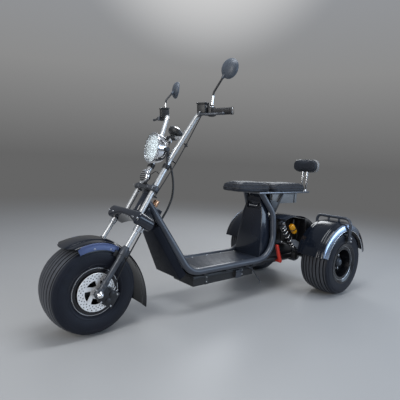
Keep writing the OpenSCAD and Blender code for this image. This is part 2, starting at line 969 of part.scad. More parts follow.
// A seat outline between two stations, rounded at its corners
module cushion(front, rear, nose_half, half, low, h, r) {
    hull() {
        for (side = [-1, 1]) {
            translate([front - r, side * (nose_half - r), low])
                cylinder(r = r, h = h * 0.7, $fn = 32);
            translate([front - r - 14, side * (nose_half - r - 8), low])
                cylinder(r = r, h = h, $fn = 32);
            translate([rear + r, side * (half - r), low])
                cylinder(r = r, h = h * 0.8, $fn = 32);
            translate([rear + r + 8, side * (half - r - 12), low])
                cylinder(r = r, h = h, $fn = 32);
        }
    }
}
rider_front = rear_x + 710;
seat_split = rider_front - rider_l;
module rider_seat() {
    color("#1e2024")
        cushion(rider_front, seat_split, 88, seat_w / 2, seat_z, seat_h, 40);
}
module passenger_seat() {
    color("#1e2024")
        cushion(seat_split - 16, seat_split - 16 - passenger_l, seat_w / 2, seat_w / 2 - 6, seat_z, seat_h - 6, 45);
}
case_rear = rear_x + 60;
case_l = 308;
case_half = 88;
case_low = pan_z - 72;
module under_seat_box() {
    corner_r = 44;
    seam = 3;
    color("#8f9399")
        difference() {
            translate([case_rear, 0, case_low])
                linear_extrude(pan_z - seat_gap - case_low) {
                    translate([corner_r, -case_half])
                        square([case_l - corner_r, 2 * case_half]);
                    translate([0, corner_r - case_half])
                        square([corner_r + 1, 2 * (case_half - corner_r)]);
                    for (y = [corner_r - case_half, case_half - corner_r])
                        translate([corner_r, y])
                            circle(r = corner_r);
                    translate([-10, -14])
                        square([11, 28]);
                }
            for (y = [-case_half - 1, case_half - seam])
                translate([case_rear + case_l * 0.2, y, case_low - 1])
                    cube([seam, seam + 1, 100]);
        }
}
back_x = rear_x - 116;
post_top = pan_z + 152;
module backrest_posts() {
    color("#d4d7db") {
        translate([back_x - 16, -34, pan_z])
            cube([pan_rear - back_x + 16 - seat_gap, 68, 8]);
        for (y = [-20, 20])
            translate([back_x, y, pan_z + 4])
                cylinder(d = 13, h = post_top - pan_z - 4);
    }
}
module backrest_pad() {
    pad_h = 102;
    r = 24;
    color("#1e2024")
        hull()
            for (y = [-1, 1], z = [r, pad_h - r])
                translate([back_x - 26, y * (backrest_w / 2 - r), post_top + seat_gap + z])
                    rotate([0, 90, 0])
                        cylinder(r = r, h = 56, $fn = 32);
}

// Rear end
arm_y = 104;
arm_z = 200;
module arm(grow) {
    bar([box_rear + 5, arm_y - 24, arm_z + 14], [rear_x, arm_y, arm_z + 22], 36 + grow);
}
module trailing_arms() {
    color("#1a1b1e")
        both_sides()
            difference() {
                union() {
                    arm(0);
                    translate([rear_x + 104, arm_y + 4, arm_z])
                        cube([32, 36, 52]);
                }
                translate([rear_x, -400, tyre_r])
                    rotate([-90, 0, 0])
                        cylinder(r = housing_r + seat_gap, h = 800);
                translate([rear_x - 100, 0, 0])
                    cube([100, 300, 400]);
                translate([box_rear - seat_gap, 0, 0])
                    cube([100, 300, 400]);
            }
}
shock_top = [rear_x + 309, 128, 480];
shock_foot = [rear_x + 120, 128, arm_z + 52 + 18 + seat_gap];
// Cups of a shock, from its upper and lower eyes, and the coil between them
cup_top = 18;
cup_foot = 24;
cup_h = 8;
coil_d = 46;
wire_d = 9;
coil_turns = 7;
module rear_springs() {
    way = unit(shock_foot - shock_top);
    from = cup_top + cup_h + wire_d / 2 + seat_gap;
    to = norm(shock_foot - shock_top) - cup_foot - cup_h - wire_d / 2 - seat_gap;
    steps = 14;
    path = [for (i = [0:coil_turns * steps])
        let (a = i * 360 / steps, t = i / steps)
        [cos(a) * (coil_d - wire_d) / 2, sin(a) * (coil_d - wire_d) / 2, coil_rise(t) * (to - from)]];
    color("#c7cace")
        both_sides()
            aim(shock_top + way * from, shock_foot)
                sweep(path, wire_d, 6);
}
// Share of the coil's height after t turns, with a flat turn at each end
function coil_rise(t) = max(0, min(1, (t - 0.75) / (coil_turns - 1.5)));
module rear_shocks() {
    way = unit(shock_foot - shock_top);
    len_all = norm(shock_foot - shock_top);
    color("#9b9ea3")
        both_sides() {
            bar(shock_top, shock_foot, 22);
            for (t = [cup_top, len_all - cup_foot - cup_h])
                aim(shock_top + way * t, shock_foot)
                    cylinder(d = coil_d + 4, h = cup_h);
            across(shock_foot[0], shock_foot[2], 18, shock_foot[1] - 14, shock_foot[1] + 14);
            across(shock_top[0], shock_top[2], 16, shock_top[1] - 12, shock_top[1] + 12);
        }
}
module shock_tube() {
    color("#1a1b1e") {
        across(shock_top[0], shock_tube_z, shock_tube_r, -170, 170);
        both_sides()
            translate([shock_top[0], 50, shock_tube_z - 14])
                cube([floor_rear - 108.4 - shock_top[0], 8, 16]);
    }
}
diff_r = 74;
motor_d = 132;
motor_l = 150;
module rear_axle_housing() {
    color("#26282c")
        translate([rear_x, 0, tyre_r])
            difference() {
                union() {
                    across(0, 0, housing_r, -housing_y, housing_y);
                    across(0, 0, diff_r, -52, 52);
                }
                both_sides()
                    across(0, 0, shaft_r + shaft_gap, housing_y - 156, housing_y + 1);
            }
}
module motor() {
    color("#3a3c40")
        translate([rear_x + diff_r + seat_gap, 0, tyre_r])
            rotate([0, 90, 0])
                cylinder(d = motor_d, h = motor_l);
}
module rear_mudguards() {
    color("#14161a")
        both_sides()
            translate([rear_x, rear_y, tyre_r])
                guard_sheet(mudguard_r, mudguard_w, 58, guard_low, 180 - guard_low);
}
// Hoop stay over a mudguard, from the axle housing to the outer skirt
hoop_z = tyre_r + mudguard_r + 24;
hoop_d = 20;
hoop_in = housing_y - hoop_d / 2 + 0.5;
hoop_out = rear_y + mudguard_w / 2 + 12;
module mudguard_hoops() {
    points = [
        [rear_x, hoop_in, tyre_r],
        [rear_x, hoop_in, hoop_z],
        [rear_x, hoop_out, hoop_z],
        [rear_x, hoop_out, 386]];
    color("#1a1c20")
        both_sides()
            difference() {
                union() {
                    tube(points, [0, 34, 44, 0], hoop_d);
                    for (y = [rear_y - 40, rear_y + 40])
                        translate([rear_x, y, tyre_r + mudguard_r - 5])
                            cylinder(d = 16, h = 24);
                }
                across(rear_x, tyre_r, housing_r + seat_gap, 0, 400);
                across(rear_x, tyre_r, mudguard_r + seat_gap, rear_y - mudguard_w / 2 + 4, rear_y + mudguard_w / 2 - 6);
            }
}
cover_r = 340;
shock_tube_r = 11;
shock_tube_z = shock_top[2] + 16 + shock_tube_r + seat_gap;
cover_x = rear_x + 220;
cover_reach = cover_r - sheet - seat_gap - shock_tube_r;
cover_c = [cover_x, shock_tube_z - sqrt(pow(cover_reach, 2) - pow(shock_top[0] - cover_x, 2))];
module rear_cover() {
    half = 196;
    color("#15171b")
        translate([cover_c[0], half, cover_c[1]])
            rotate([90, 0, 0])
                rotate([0, 0, 70])
                    rotate_extrude(angle = 74)
                        translate([cover_r - sheet, 0])
                            square([sheet, 2 * half]);
}
module indicators() {
    lamp = [rear_x + 228, 176, 440];
    half_l = [16, 0, 18];
    lens_d = 40;
    color("#d98a1c")
        both_sides() {
            capsule(lamp - half_l, lamp + half_l, lens_d);
            difference() {
                translate(lamp)
                    cylinder(d = 10, h = 120);
                translate([cover_c[0], -300, cover_c[1]])
                    difference() {
                        translate([-400, 0, -400])
                            cube([800, 800, 900]);
                        rotate([-90, 0, 0])
                            cylinder(r = cover_r - sheet - seat_gap, h = 800);
                    }
            }
        }
}
module tail_lamps() {
    angle = 152;
    color("#b3161a")
        both_sides()
            difference() {
                translate([rear_x, rear_y, tyre_r])
                    rotate([0, -angle, 0])
                        translate([mudguard_r - 6, 0, 0])
                            rotate([0, 90, 0])
                                cylinder(d = 50, h = 14);
                across(rear_x, tyre_r, mudguard_r + seat_gap, 0, 800);
            }
}
module red_lever() {
    foot = [rear_x + 286, 128, 205];
    tip = [rear_x + 332, 128, 316];
    color("#c22a24")
        difference() {
            union() {
                capsule(foot, tip, 26);
                across(foot[0], foot[2], 12, arm_y - 10, foot[1] + 8);
            }
            arm(2 * seat_gap);
        }
}

// Wiring loom from the brace's socket down to the gland on the leg shield
loom_d = 13;
loom_top = [brace[0], 0, brace[2]] - steer_way * (socket_l + seat_gap);
loom_foot = [leg_x(gland_z), 0, gland_z] - leg_out * (gland_l + seat_gap);
loom_route = [loom_top, loom_top - steer_way * 14, [-456, 0, 942], [-459, 0, 912], [-467, 0, 880], [-479, 0, 846],
    [-491, 0, 808], [-500, 0, 766], [-504, 0, 730], [-503, 0, 696], [-497, 0, 660], [-484, 0, 627], [-467, 0, 592],
    [-446, 0, 560], loom_foot - leg_out * 16, loom_foot];
module wiring_loom() {
    color("#101113")
        sweep(loom_route, loom_d, 8);
}

// The vehicle's own frame has its origin on the ground under the middle of the whole
module placed() {
    translate([front_x, 0, 0])
        children();
}
placed() front_tyre();
placed() front_rim();
placed() front_disc();
placed() front_axle();
placed() fork_lowers();
placed() stanchions();
placed() lower_crown();
placed() upper_crown();
placed() handlebar();
placed() grips();
placed() switch_pods();
placed() brake_levers();
placed() mirror_stems();
placed() mirror_shells();
placed() mirror_glasses();
placed() headlight_shell();
placed() headlight_lens();
placed() lamp_bracket();
placed() horn();
placed() instrument();
placed() front_mudguard();
placed() mudguard_stays();
placed() brake_caliper();
placed() brake_hose();
placed() head_tube();
placed() rail_left();
placed() rail_right();
placed() front_fairing();
placed() leg_shield();
placed() floor_panel();
placed() floor_frame();
placed() battery_box();
placed() seat_riser();
placed() ignition_lock();
placed() seat_pan();
placed() seat_struts();
placed() rider_seat();
placed() passenger_seat();
placed() under_seat_box();
placed() backrest_posts();
placed() backrest_pad();
placed() trailing_arms();
placed() rear_shocks();
placed() rear_springs();
placed() shock_tube();
placed() rear_axle_housing();
placed() motor();
placed() rear_mudguards();
placed() mudguard_hoops();
placed() rear_cover();
placed() indicators();
placed() tail_lamps();
placed() red_lever();
placed() rear_tyre_left();
placed() rear_tyre_right();
placed() rear_rim_left();
placed() rear_rim_right();
placed() wiring_loom();
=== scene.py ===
"""Looks of a fat-tyred electric tricycle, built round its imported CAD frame.

Shapes are drawn in millimetres from the front axle: x forward, y left, z up from the ground.
A finished piece is moved to the frame's own metres.
"""

import json
import logging
import math
from collections.abc import Iterable, Sequence
from dataclasses import dataclass, field
from enum import Enum

import bmesh
import bpy
from mathutils import Matrix, Vector


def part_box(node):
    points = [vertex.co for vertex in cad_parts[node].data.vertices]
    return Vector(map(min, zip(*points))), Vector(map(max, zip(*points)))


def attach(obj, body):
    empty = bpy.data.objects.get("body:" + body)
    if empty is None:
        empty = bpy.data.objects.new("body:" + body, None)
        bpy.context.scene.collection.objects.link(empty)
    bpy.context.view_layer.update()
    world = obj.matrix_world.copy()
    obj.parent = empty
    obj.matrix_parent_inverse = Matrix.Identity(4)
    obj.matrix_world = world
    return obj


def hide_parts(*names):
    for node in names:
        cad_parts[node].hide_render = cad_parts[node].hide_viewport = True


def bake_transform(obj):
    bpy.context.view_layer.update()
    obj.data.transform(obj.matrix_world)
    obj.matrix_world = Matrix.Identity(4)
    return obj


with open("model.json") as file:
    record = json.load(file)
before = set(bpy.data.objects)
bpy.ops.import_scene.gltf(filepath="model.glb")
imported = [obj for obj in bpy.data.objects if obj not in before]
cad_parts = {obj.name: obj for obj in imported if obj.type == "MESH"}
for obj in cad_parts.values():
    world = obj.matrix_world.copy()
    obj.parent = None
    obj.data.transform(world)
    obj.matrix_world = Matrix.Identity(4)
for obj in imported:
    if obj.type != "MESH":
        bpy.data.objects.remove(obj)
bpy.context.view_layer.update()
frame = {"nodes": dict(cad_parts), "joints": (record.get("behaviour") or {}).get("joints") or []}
log = logging.getLogger("tricycle")

MM = 0.001
FORWARD, LEFT, UP = Vector((1, 0, 0)), Vector((0, 1, 0)), Vector((0, 0, 1))
RIGHT = -LEFT
Outline = Sequence[tuple[float, float]]
# Angle in degrees past which a CAD edge is rounded
SHARP = 28.0


def node_mid(node: str) -> Vector:
    """Middle of a CAD node's box, in the frame's metres."""
    low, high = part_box(node)
    return (low + high) / 2


FRONT_AXLE = node_mid("front_axle")
TYRE_R = FRONT_AXLE.z / MM
REAR_X = (node_mid("rear_rim_left").x - FRONT_AXLE.x) / MM
REAR_Y = node_mid("rear_tyre_left").y / MM
TO_FRAME = Matrix.Translation((FRONT_AXLE.x, 0, 0)) @ Matrix.Scale(MM, 4)
STEER_WAY = Vector(next(j["axis"] for j in frame["joints"] if j["name"] == "steering"))
RAKE = math.atan2(-STEER_WAY.x, STEER_WAY.z)
# The fork's own frame: z along the steering axis, x square to it, origin on the front axle
FORK = Matrix.Translation((0, 0, TYRE_R)) @ Matrix.Rotation(-RAKE, 4, "Y")
# The legs stand at a wider angle in the crowns
LEGS = FORK @ Matrix.Rotation(-math.radians(2.5), 4, "Y")
# How far the steering axis stands behind the front axle, in the fork's own frame
STEER_BACK = 52.0


class Body(Enum):
    """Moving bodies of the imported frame."""

    FRAME = "frame"
    FORK = "fork"
    FRONT_WHEEL = "front_wheel"
    REAR_LEFT = "rear_wheel_left"
    REAR_RIGHT = "rear_wheel_right"


def aim(origin: Vector, way: Vector) -> Matrix:
    """A frame whose z axis points a given way.

    Args:
        origin: Where the frame stands.
        way: Direction of its z axis.

    Returns:
        The frame as a matrix, its y axis level wherever it can be.
    """
    z = Vector(way).normalized()
    x = (FORWARD if abs(z.y) > 0.99 else LEFT).cross(z).normalized()
    turned = Matrix((x, z.cross(x), z)).transposed().to_4x4()
    turned.translation = origin
    return turned


def bent(points: Sequence[Vector], radii: Sequence[float], steps: int = 8) -> list[Vector]:
    """A path whose inner corners are rounded.

    Args:
        points: Corners of the path.
        radii: Bend radius at each inner corner.
        steps: Stretches in one bend.

    Returns:
        The path's points.
    """
    path = [Vector(points[0])]
    for before, corner, after, radius in zip(points, points[1:], points[2:], radii):
        a, b = (Vector(corner) - Vector(before)).normalized(), (Vector(after) - Vector(corner)).normalized()
        turn = a.angle(b)
        start = Vector(corner) - a * radius * math.tan(turn / 2)
        inward = (b - a * a.dot(b)).normalized()
        for step in range(steps + 1):
            angle = turn * step / steps
            path.append(start + a * radius * math.sin(angle) + inward * radius * (1 - math.cos(angle)))
    return [*path, Vector(points[-1])]


def arc(centre: tuple[float, float], radius: float, start: float, end: float,
        steps: int) -> list[tuple[float, float]]:
    """Points on a flat arc, from one angle in degrees to another."""
    angles = [math.radians(start + (end - start) * i / steps) for i in range(steps + 1)]
    return [(centre[0] + radius * math.cos(a), centre[1] + radius * math.sin(a)) for a in angles]


class Value:
    """A number on a shader's socket; arithmetic on it adds Math nodes."""

    def __init__(self, graph: "Graph", socket: bpy.types.NodeSocket) -> None:
        """Keeps the socket and the graph it belongs to."""
        self.graph = graph
        self.socket = socket

    def _math(self, operation: str, *operands: "Value | float") -> "Value":
        """One Math node on the operands."""
        return self.graph.node("Math", {"operation": operation}, dict(enumerate(operands)))

    def __add__(self, other: "Value | float") -> "Value":
        """Sum."""
        return self._math("ADD", self, other)

    def __sub__(self, other: "Value | float") -> "Value":
        """Difference."""
        return self._math("SUBTRACT", self, other)

    def __rsub__(self, other: float) -> "Value":
        """Difference from a number."""
        return self._math("SUBTRACT", other, self)

    def __mul__(self, other: "Value | float") -> "Value":
        """Product."""
        return self._math("MULTIPLY", self, other)

    def __pow__(self, other: float) -> "Value":
        """Power."""
        return self._math("POWER", self, other)

    __radd__, __rmul__ = __add__, __mul__

    def wave(self) -> "Value":
        """Sine."""
        return self._math("SINE", self)

    def rise(self, low: float, high: float) -> "Value":
        """Smooth step from 0 at low to 1 at high."""
        settings = {"interpolation_type": "SMOOTHSTEP"}
        return self.graph.node("MapRange", settings, {0: self, 1: low, 2: high, 3: 0.0, 4: 1.0})


Input = Value | float | tuple


class Graph:
    """The node tree of one material."""

    def __init__(self, name: str) -> None:
        """Starts a material with a plain Principled shader."""
        self.material = bpy.data.materials.new(name)
        self.material.use_nodes = True
        self.tree = self.material.node_tree
        self.shader = self.tree.nodes["Principled BSDF"]

    def feed(self, socket: bpy.types.NodeSocket, value: Input) -> None:
        """Links a value to a socket, or sets the socket's own number or colour."""
        if isinstance(value, Value):
            self.tree.links.new(value.socket, socket)
        elif isinstance(value, tuple) and len(value) == 3 and socket.type == "RGBA":
            socket.default_value = (*value, 1)
        else:
            socket.default_value = value

    def node(self, kind: str, settings: dict, inputs: dict, output: int | str = 0) -> Value:
        """Any node.

        Args:
            kind: Type of the node after "ShaderNode".
            settings: Its own settings, set before its sockets.
            inputs: Values or links by socket name or number.
            output: The output wanted.

        Returns:
            That output as a value.
        """
        made = self.tree.nodes.new("ShaderNode" + kind)
        for key, setting in settings.items():
            setattr(made, key, setting)
        for key, value in inputs.items():
            self.feed(made.inputs[key], value)
        return Value(self, made.outputs[output])

    def set(self, **inputs: Input) -> None:
        """Feeds the shader's sockets, named with _ for each space."""
        for key, value in inputs.items():
            self.feed(self.shader.inputs[key.replace("_", " ")], value)

    def place(self, centre: Vector | None = None, stretch: tuple = (1.0, 1.0, 1.0)) -> Value:
        """Object coordinates, moved to a centre and stretched."""
        raw = self.node("TexCoord", {}, {}, "Object")
        if centre is None and stretch == (1.0, 1.0, 1.0):
            return raw
        shift = tuple(-c * s for c, s in zip(centre or (0, 0, 0), stretch))
        return self.node("Mapping", {}, {"Vector": raw, "Location": shift, "Scale": stretch})

    def noise(self, scale: float, detail: float = 3.0, where: Value | None = None) -> Value:
        """Cloudy noise from 0 to 1, its scale in cells a metre."""
        inputs = {"Vector": where or self.place(), "Scale": scale, "Detail": detail}
        return self.node("TexNoise", {}, inputs)

    def cells(self, scale: float, where: Value | None = None, feature: str = "F1") -> Value:
        """Distance in a field of cells, its scale in cells a metre."""
        inputs = {"Vector": where or self.place(), "Scale": scale}
        return self.node("TexVoronoi", {"feature": feature}, inputs, "Distance")

    def mix(self, factor: Value, a: Input, b: Input) -> Value:
        """A colour between two."""
        return self.node("Mix", {"data_type": "RGBA"}, {0: factor, 6: a, 7: b}, 2)

    def radius(self, centre: Vector) -> Value:
        """Distance in metres from an axle that runs across the vehicle."""
        flat = self.place(centre, (1.0, 0.0, 1.0))
        return self.node("VectorMath", {"operation": "LENGTH"}, {0: flat}, "Value")

    def bump(self, height: Value, strength: float, depth: float) -> None:
        """Relief of that depth in metres on the shader's normal."""
        made = self.node("Bump", {}, {"Height": height, "Strength": strength, "Distance": depth})
        self.set(Normal=made)


@dataclass(frozen=True)
class Finish:
    """A finish with cloudy changes of tone and gloss; its kinds add their own relief."""

    slot: str
    colour: tuple[float, float, float]
    rough: float
    metal: float = 0.0
    coat: float = 0.0
    tone: float = 0.35
    cloud: float = 9.0
    shine: float = 0.5
    # Strength of a painted glow: emission that makes a surface look lit though it is no lamp
    glow: float = 0.0

    @property
    def name(self) -> str:
        """Name of the finish's material."""
        return f"{self.slot}_{type(self).__name__.lower()}"

    def material(self) -> bpy.types.Material:
        """The finish's material, made on first use."""
        found = bpy.data.materials.get(self.name)
        if found:
            return found
        graph = Graph(self.name)
        self.base(graph)
        self.relief(graph)
        return graph.material

    def base(self, graph: Graph) -> None:
        """Colour and gloss, each with cloudy changes, and a painted glow where one is set."""
        cloud = graph.noise(self.cloud, 4.0)
        pale = tuple(min(1.0, c * (1 + self.tone) + 0.004 * self.tone) for c in self.colour)
        dark = tuple(c * (1 - 0.5 * self.tone) for c in self.colour)
        smear = graph.noise(self.cloud * 7, 2.0)
        graph.set(Base_Color=graph.mix(cloud, dark, pale), Metallic=self.metal, Coat_Weight=self.coat)
        graph.set(Roughness=self.rough * (0.75 + 0.5 * smear), Coat_Roughness=0.04,
                  Specular_IOR_Level=self.shine)
        # Painted glow in the finish's own colour
        if self.glow:
            graph.set(Emission_Color=self.colour, Emission_Strength=self.glow)

    def relief(self, graph: Graph) -> None:
        """Fine unevenness of the surface."""
        graph.bump(graph.noise(220.0, 2.0), 0.08, 0.0004)


@dataclass(frozen=True)
class Paint(Finish):
    """Gloss paint under clear lacquer, with the faint orange-peel of a sprayed coat."""

    def relief(self, graph: Graph) -> None:
        """Orange-peel."""
        graph.bump(graph.noise(120.0, 1.0), 0.018, 0.0004)


@dataclass(frozen=True)
class Plated(Finish):
    """Bright plating with wiped smears."""

    def relief(self, graph: Graph) -> None:
        """Ripples left by polishing."""
        graph.bump(graph.noise(36.0, 1.0), 0.02, 0.0004)


@dataclass(frozen=True)
class Cast(Finish):
    """Blasted casting or powder coat with a sandy grain."""

    grain: float = 900.0

    def relief(self, graph: Graph) -> None:
        """Sandy grain."""
        graph.bump(graph.noise(self.grain, 2.0) + 0.5 * graph.cells(self.grain * 0.6), 0.22, 0.0006)


@dataclass(frozen=True)
class Moulded(Finish):
    """Moulded plastic with a spark-eroded texture."""

    def relief(self, graph: Graph) -> None:
        """Spark-eroded texture."""
        graph.bump(graph.cells(1100.0) + 0.4 * graph.noise(500.0), 0.18, 0.0004)


@dataclass(frozen=True)
class Rubber(Finish):
    """Tyre rubber with mould rings on its walls, tread lands painted paler for wear and a painted highlight,
    and painted shade in the grooves.
    """

    axle: tuple[float, float, float] = (0.0, 0.0, 0.0)
    wheel: str = ""
    ring_pitch: float = 0.0042
    reach: float = 0.0
    crown_arc: float = 0.0
    tread_half: float = 0.086
    # Colour of the tread lands: wear, and a painted highlight where light catches the lands
    worn: tuple[float, float, float] = (0.075, 0.080, 0.092)
    # Colour of the groove bottoms: painted shade in the recesses
    groove_shade: tuple[float, float, float] = (0.003, 0.003, 0.004)

    @property
    def name(self) -> str:
        """Name of the finish's material, one for each wheel."""
        return f"tyre_rubber_{self.wheel}"

    def base(self, graph: Graph) -> None:
        """Tread lands paler for wear and a painted highlight, groove bottoms painted dark as shade, and scuffed
        walls.
        """
        r = graph.radius(Vector(self.axle))
        scuff = graph.noise(26.0, 5.0)
        across = graph.node("SeparateXYZ", {}, {0: graph.place(Vector(self.axle))}, "Y")
        square = across * across
        crown = (self.crown_arc ** 2 - square) ** 0.5 + (self.reach - self.crown_arc)
        tread = (1 - square.rise(self.tread_half ** 2, (self.tread_half + 0.004) ** 2)) * r.rise(0.198, 0.202)
        # Mask of the groove bottoms, which get painted shade
        sunk = tread * (crown - r).rise(0.001, 0.004)
        land = tread * (1 - sunk)
        dark = tuple(c * 0.7 for c in self.colour)
        pale = tuple(c * 1.3 for c in self.colour)
        wall = graph.mix(scuff, dark, pale)
        # Lands painted paler, partly wear and partly a painted highlight
        rubbed_and_lit = graph.mix(land * (0.45 + 0.55 * scuff), wall, self.worn)
        # Groove bottoms darkened with painted shade
        graph.set(Base_Color=graph.mix(sunk, rubbed_and_lit, self.groove_shade))
        graph.set(Roughness=self.rough * (0.8 + 0.35 * scuff) + 0.1 * sunk, Specular_IOR_Level=self.shine)

    def relief(self, graph: Graph) -> None:
        """Mould rings on the walls over a fine pebble."""
        r = graph.radius(Vector(self.axle))
        rings = (r * (2 * math.pi / self.ring_pitch)).wave() * (1 - r.rise(0.150, 0.156)) * r.rise(0.126, 0.131)
        graph.bump(rings * 0.5 + 0.6 * graph.noise(420.0, 3.0), 0.3, 0.0006)


@dataclass(frozen=True)
class Turned(Finish):
    """Bright steel turned on a lathe, with fine rings round an axle across the vehicle."""

    axle: tuple[float, float, float] = (0.0, 0.0, 0.0)
    ring_pitch: float = 0.0016

    def relief(self, graph: Graph) -> None:
        """Turning marks."""
        r = graph.radius(Vector(self.axle))
        marks = (r * (2 * math.pi / self.ring_pitch) + 4.0 * graph.noise(30.0)).wave()
        graph.bump(marks + 0.5 * graph.noise(400.0), 0.14, 0.0003)


@dataclass(frozen=True)
class Leather(Finish):
    """Stretched vinyl leather with a pebbled grain and soft creases."""

    pebble: float = 520.0

    def relief(self, graph: Graph) -> None:
        """Pebbles, the furrows between them and broad creases."""
        sway = graph.place(None, (1.0, 1.25, 1.1))
        furrow = graph.cells(self.pebble, sway, "DISTANCE_TO_EDGE").rise(0.0, 0.16)
        crease = graph.noise(34.0, 5.0, graph.place(None, (0.5, 1.4, 1.0)))
        graph.set(Sheen_Weight=0.08, Sheen_Roughness=0.4)
        graph.bump(furrow * 0.5 + crease * 1.6, 0.32, 0.0009)


@dataclass(frozen=True)
class Lens(Finish):
    """Clear or coloured lens with pressed flutes."""

    flute: float = 0.006
    clear: float = 0.55

    def relief(self, graph: Graph) -> None:
        """Upright flutes crossed by fainter level ones."""
        split = graph.node("SeparateXYZ", {}, {0: graph.place()}, "Y")
        level = graph.node("SeparateXYZ", {}, {0: graph.place()}, "Z")
        pitch = 2 * math.pi / self.flute
        graph.set(Transmission_Weight=self.clear, IOR=1.45)
        graph.bump((split * pitch).wave() + 0.6 * (level * pitch).wave(), 0.25, 0.0008)


@dataclass(frozen=True)
class Matting(Finish):
    """Rubber floor mat with rows of small studs."""

    stud: float = 0.012

    def relief(self, graph: Graph) -> None:
        """Rows of studs over a pebble."""
        turn = 2 * math.pi / self.stud
        x = graph.node("SeparateXYZ", {}, {0: graph.place()}, "X")
        y = graph.node("SeparateXYZ", {}, {0: graph.place()}, "Y")
        studs = ((x * turn).wave() * (y * turn).wave()).rise(0.35, 0.6)
        graph.bump(studs + 0.35 * graph.noise(500.0, 3.0), 0.25, 0.0007)


GLOSS = Paint("gloss_black", (0.008, 0.011, 0.019), 0.22, coat=0.45, tone=0.5, shine=0.3)
DARK_STEEL = Cast("black_steel", (0.016, 0.017, 0.020), 0.42, 0.2)
DARK_ALLOY = Cast("dark_alloy", (0.060, 0.066, 0.078), 0.42, 0.55, grain=600.0)
RIM_BLACK = Paint("black_alloy", (0.005, 0.005, 0.007), 0.30, coat=0.3, shine=0.3)
SATIN = Cast("gloss_black", (0.034, 0.041, 0.056), 0.38, coat=0.25, tone=0.3)
SHELL = Plated("black_plastic", (0.060, 0.073, 0.095), 0.46, tone=0.15)
LIP = Plated("black_alloy", (0.34, 0.34, 0.35), 0.20, 1.0, tone=0.2)
CHROME = Plated("chrome", (0.70, 0.71, 0.73), 0.12, 1.0, tone=0.08)
STEEL = Plated("bright_steel", (0.62, 0.63, 0.65), 0.26, 1.0, tone=0.15)
DISC_STEEL = Turned("disc_steel", (0.86, 0.86, 0.86), 0.38, 0.72, tone=0.06, axle=tuple(FRONT_AXLE))
PLASTIC = Moulded("black_plastic", (0.014, 0.015, 0.017), 0.46)
GRIP = Moulded("grip_rubber", (0.016, 0.016, 0.018), 0.62)
MAT = Matting("floor_mat", (0.016, 0.020, 0.030), 0.40)
MIRROR = Plated("mirror_glass", (0.82, 0.85, 0.88), 0.03, 1.0, tone=0.04)
# Headlight cells: a faint painted glow brightens the reflector cells as if lit
CELL = Plated("lamp_lens", (0.90, 0.95, 0.97), 0.30, 0.3, tone=0.05, glow=0.22)
CLEAR = Lens("lamp_lens", (0.95, 0.97, 1.0), 0.04, flute=0.011, clear=0.94, tone=0.02)
BRASS = Plated("lock_brass", (0.52, 0.30, 0.18), 0.30, 1.0, tone=0.3)
BAND = Paint("bright_steel", (0.36, 0.44, 0.57), 0.23, 1.0, coat=0.4, tone=0.2)
# Flat blue on the front mudguard's skirt strips, a painted reflection of the sky
PAINTED_REFLECTION_BLUE = Finish("bright_steel", (0.040, 0.062, 0.15), 0.36, 0.2, tone=0.2)
BRUSHED = Paint("chrome", (0.62, 0.63, 0.64), 0.40, 0.9, tone=0.1)
SHADE = Moulded("gloss_black", (0.006, 0.008, 0.014), 0.55, shine=0.15)
PALE = Cast("bright_steel", (0.42, 0.47, 0.55), 0.40, 0.2)
GUARD = Plated("gloss_black", (0.004, 0.006, 0.011), 0.18, 0.0, coat=0.10, tone=0.3, shine=0.25)
PAN = Turned("pan_steel", (0.20, 0.21, 0.23), 0.40, 1.0, tone=0.15)
LEATHER = Leather("seat_leather", (0.016, 0.019, 0.026), 0.50, tone=0.35, shine=0.22)
GREY_CASE = Moulded("grey_case", (0.20, 0.20, 0.20), 0.45, tone=0.2)
AMBER = Lens("amber_lens", (0.90, 0.36, 0.01), 0.12, clear=0.35)
RED_LENS = Lens("red_lens", (0.55, 0.01, 0.01), 0.12, clear=0.35)
RED_SLEEVE = Moulded("red_sleeve", (0.62, 0.035, 0.02), 0.36, tone=0.25)


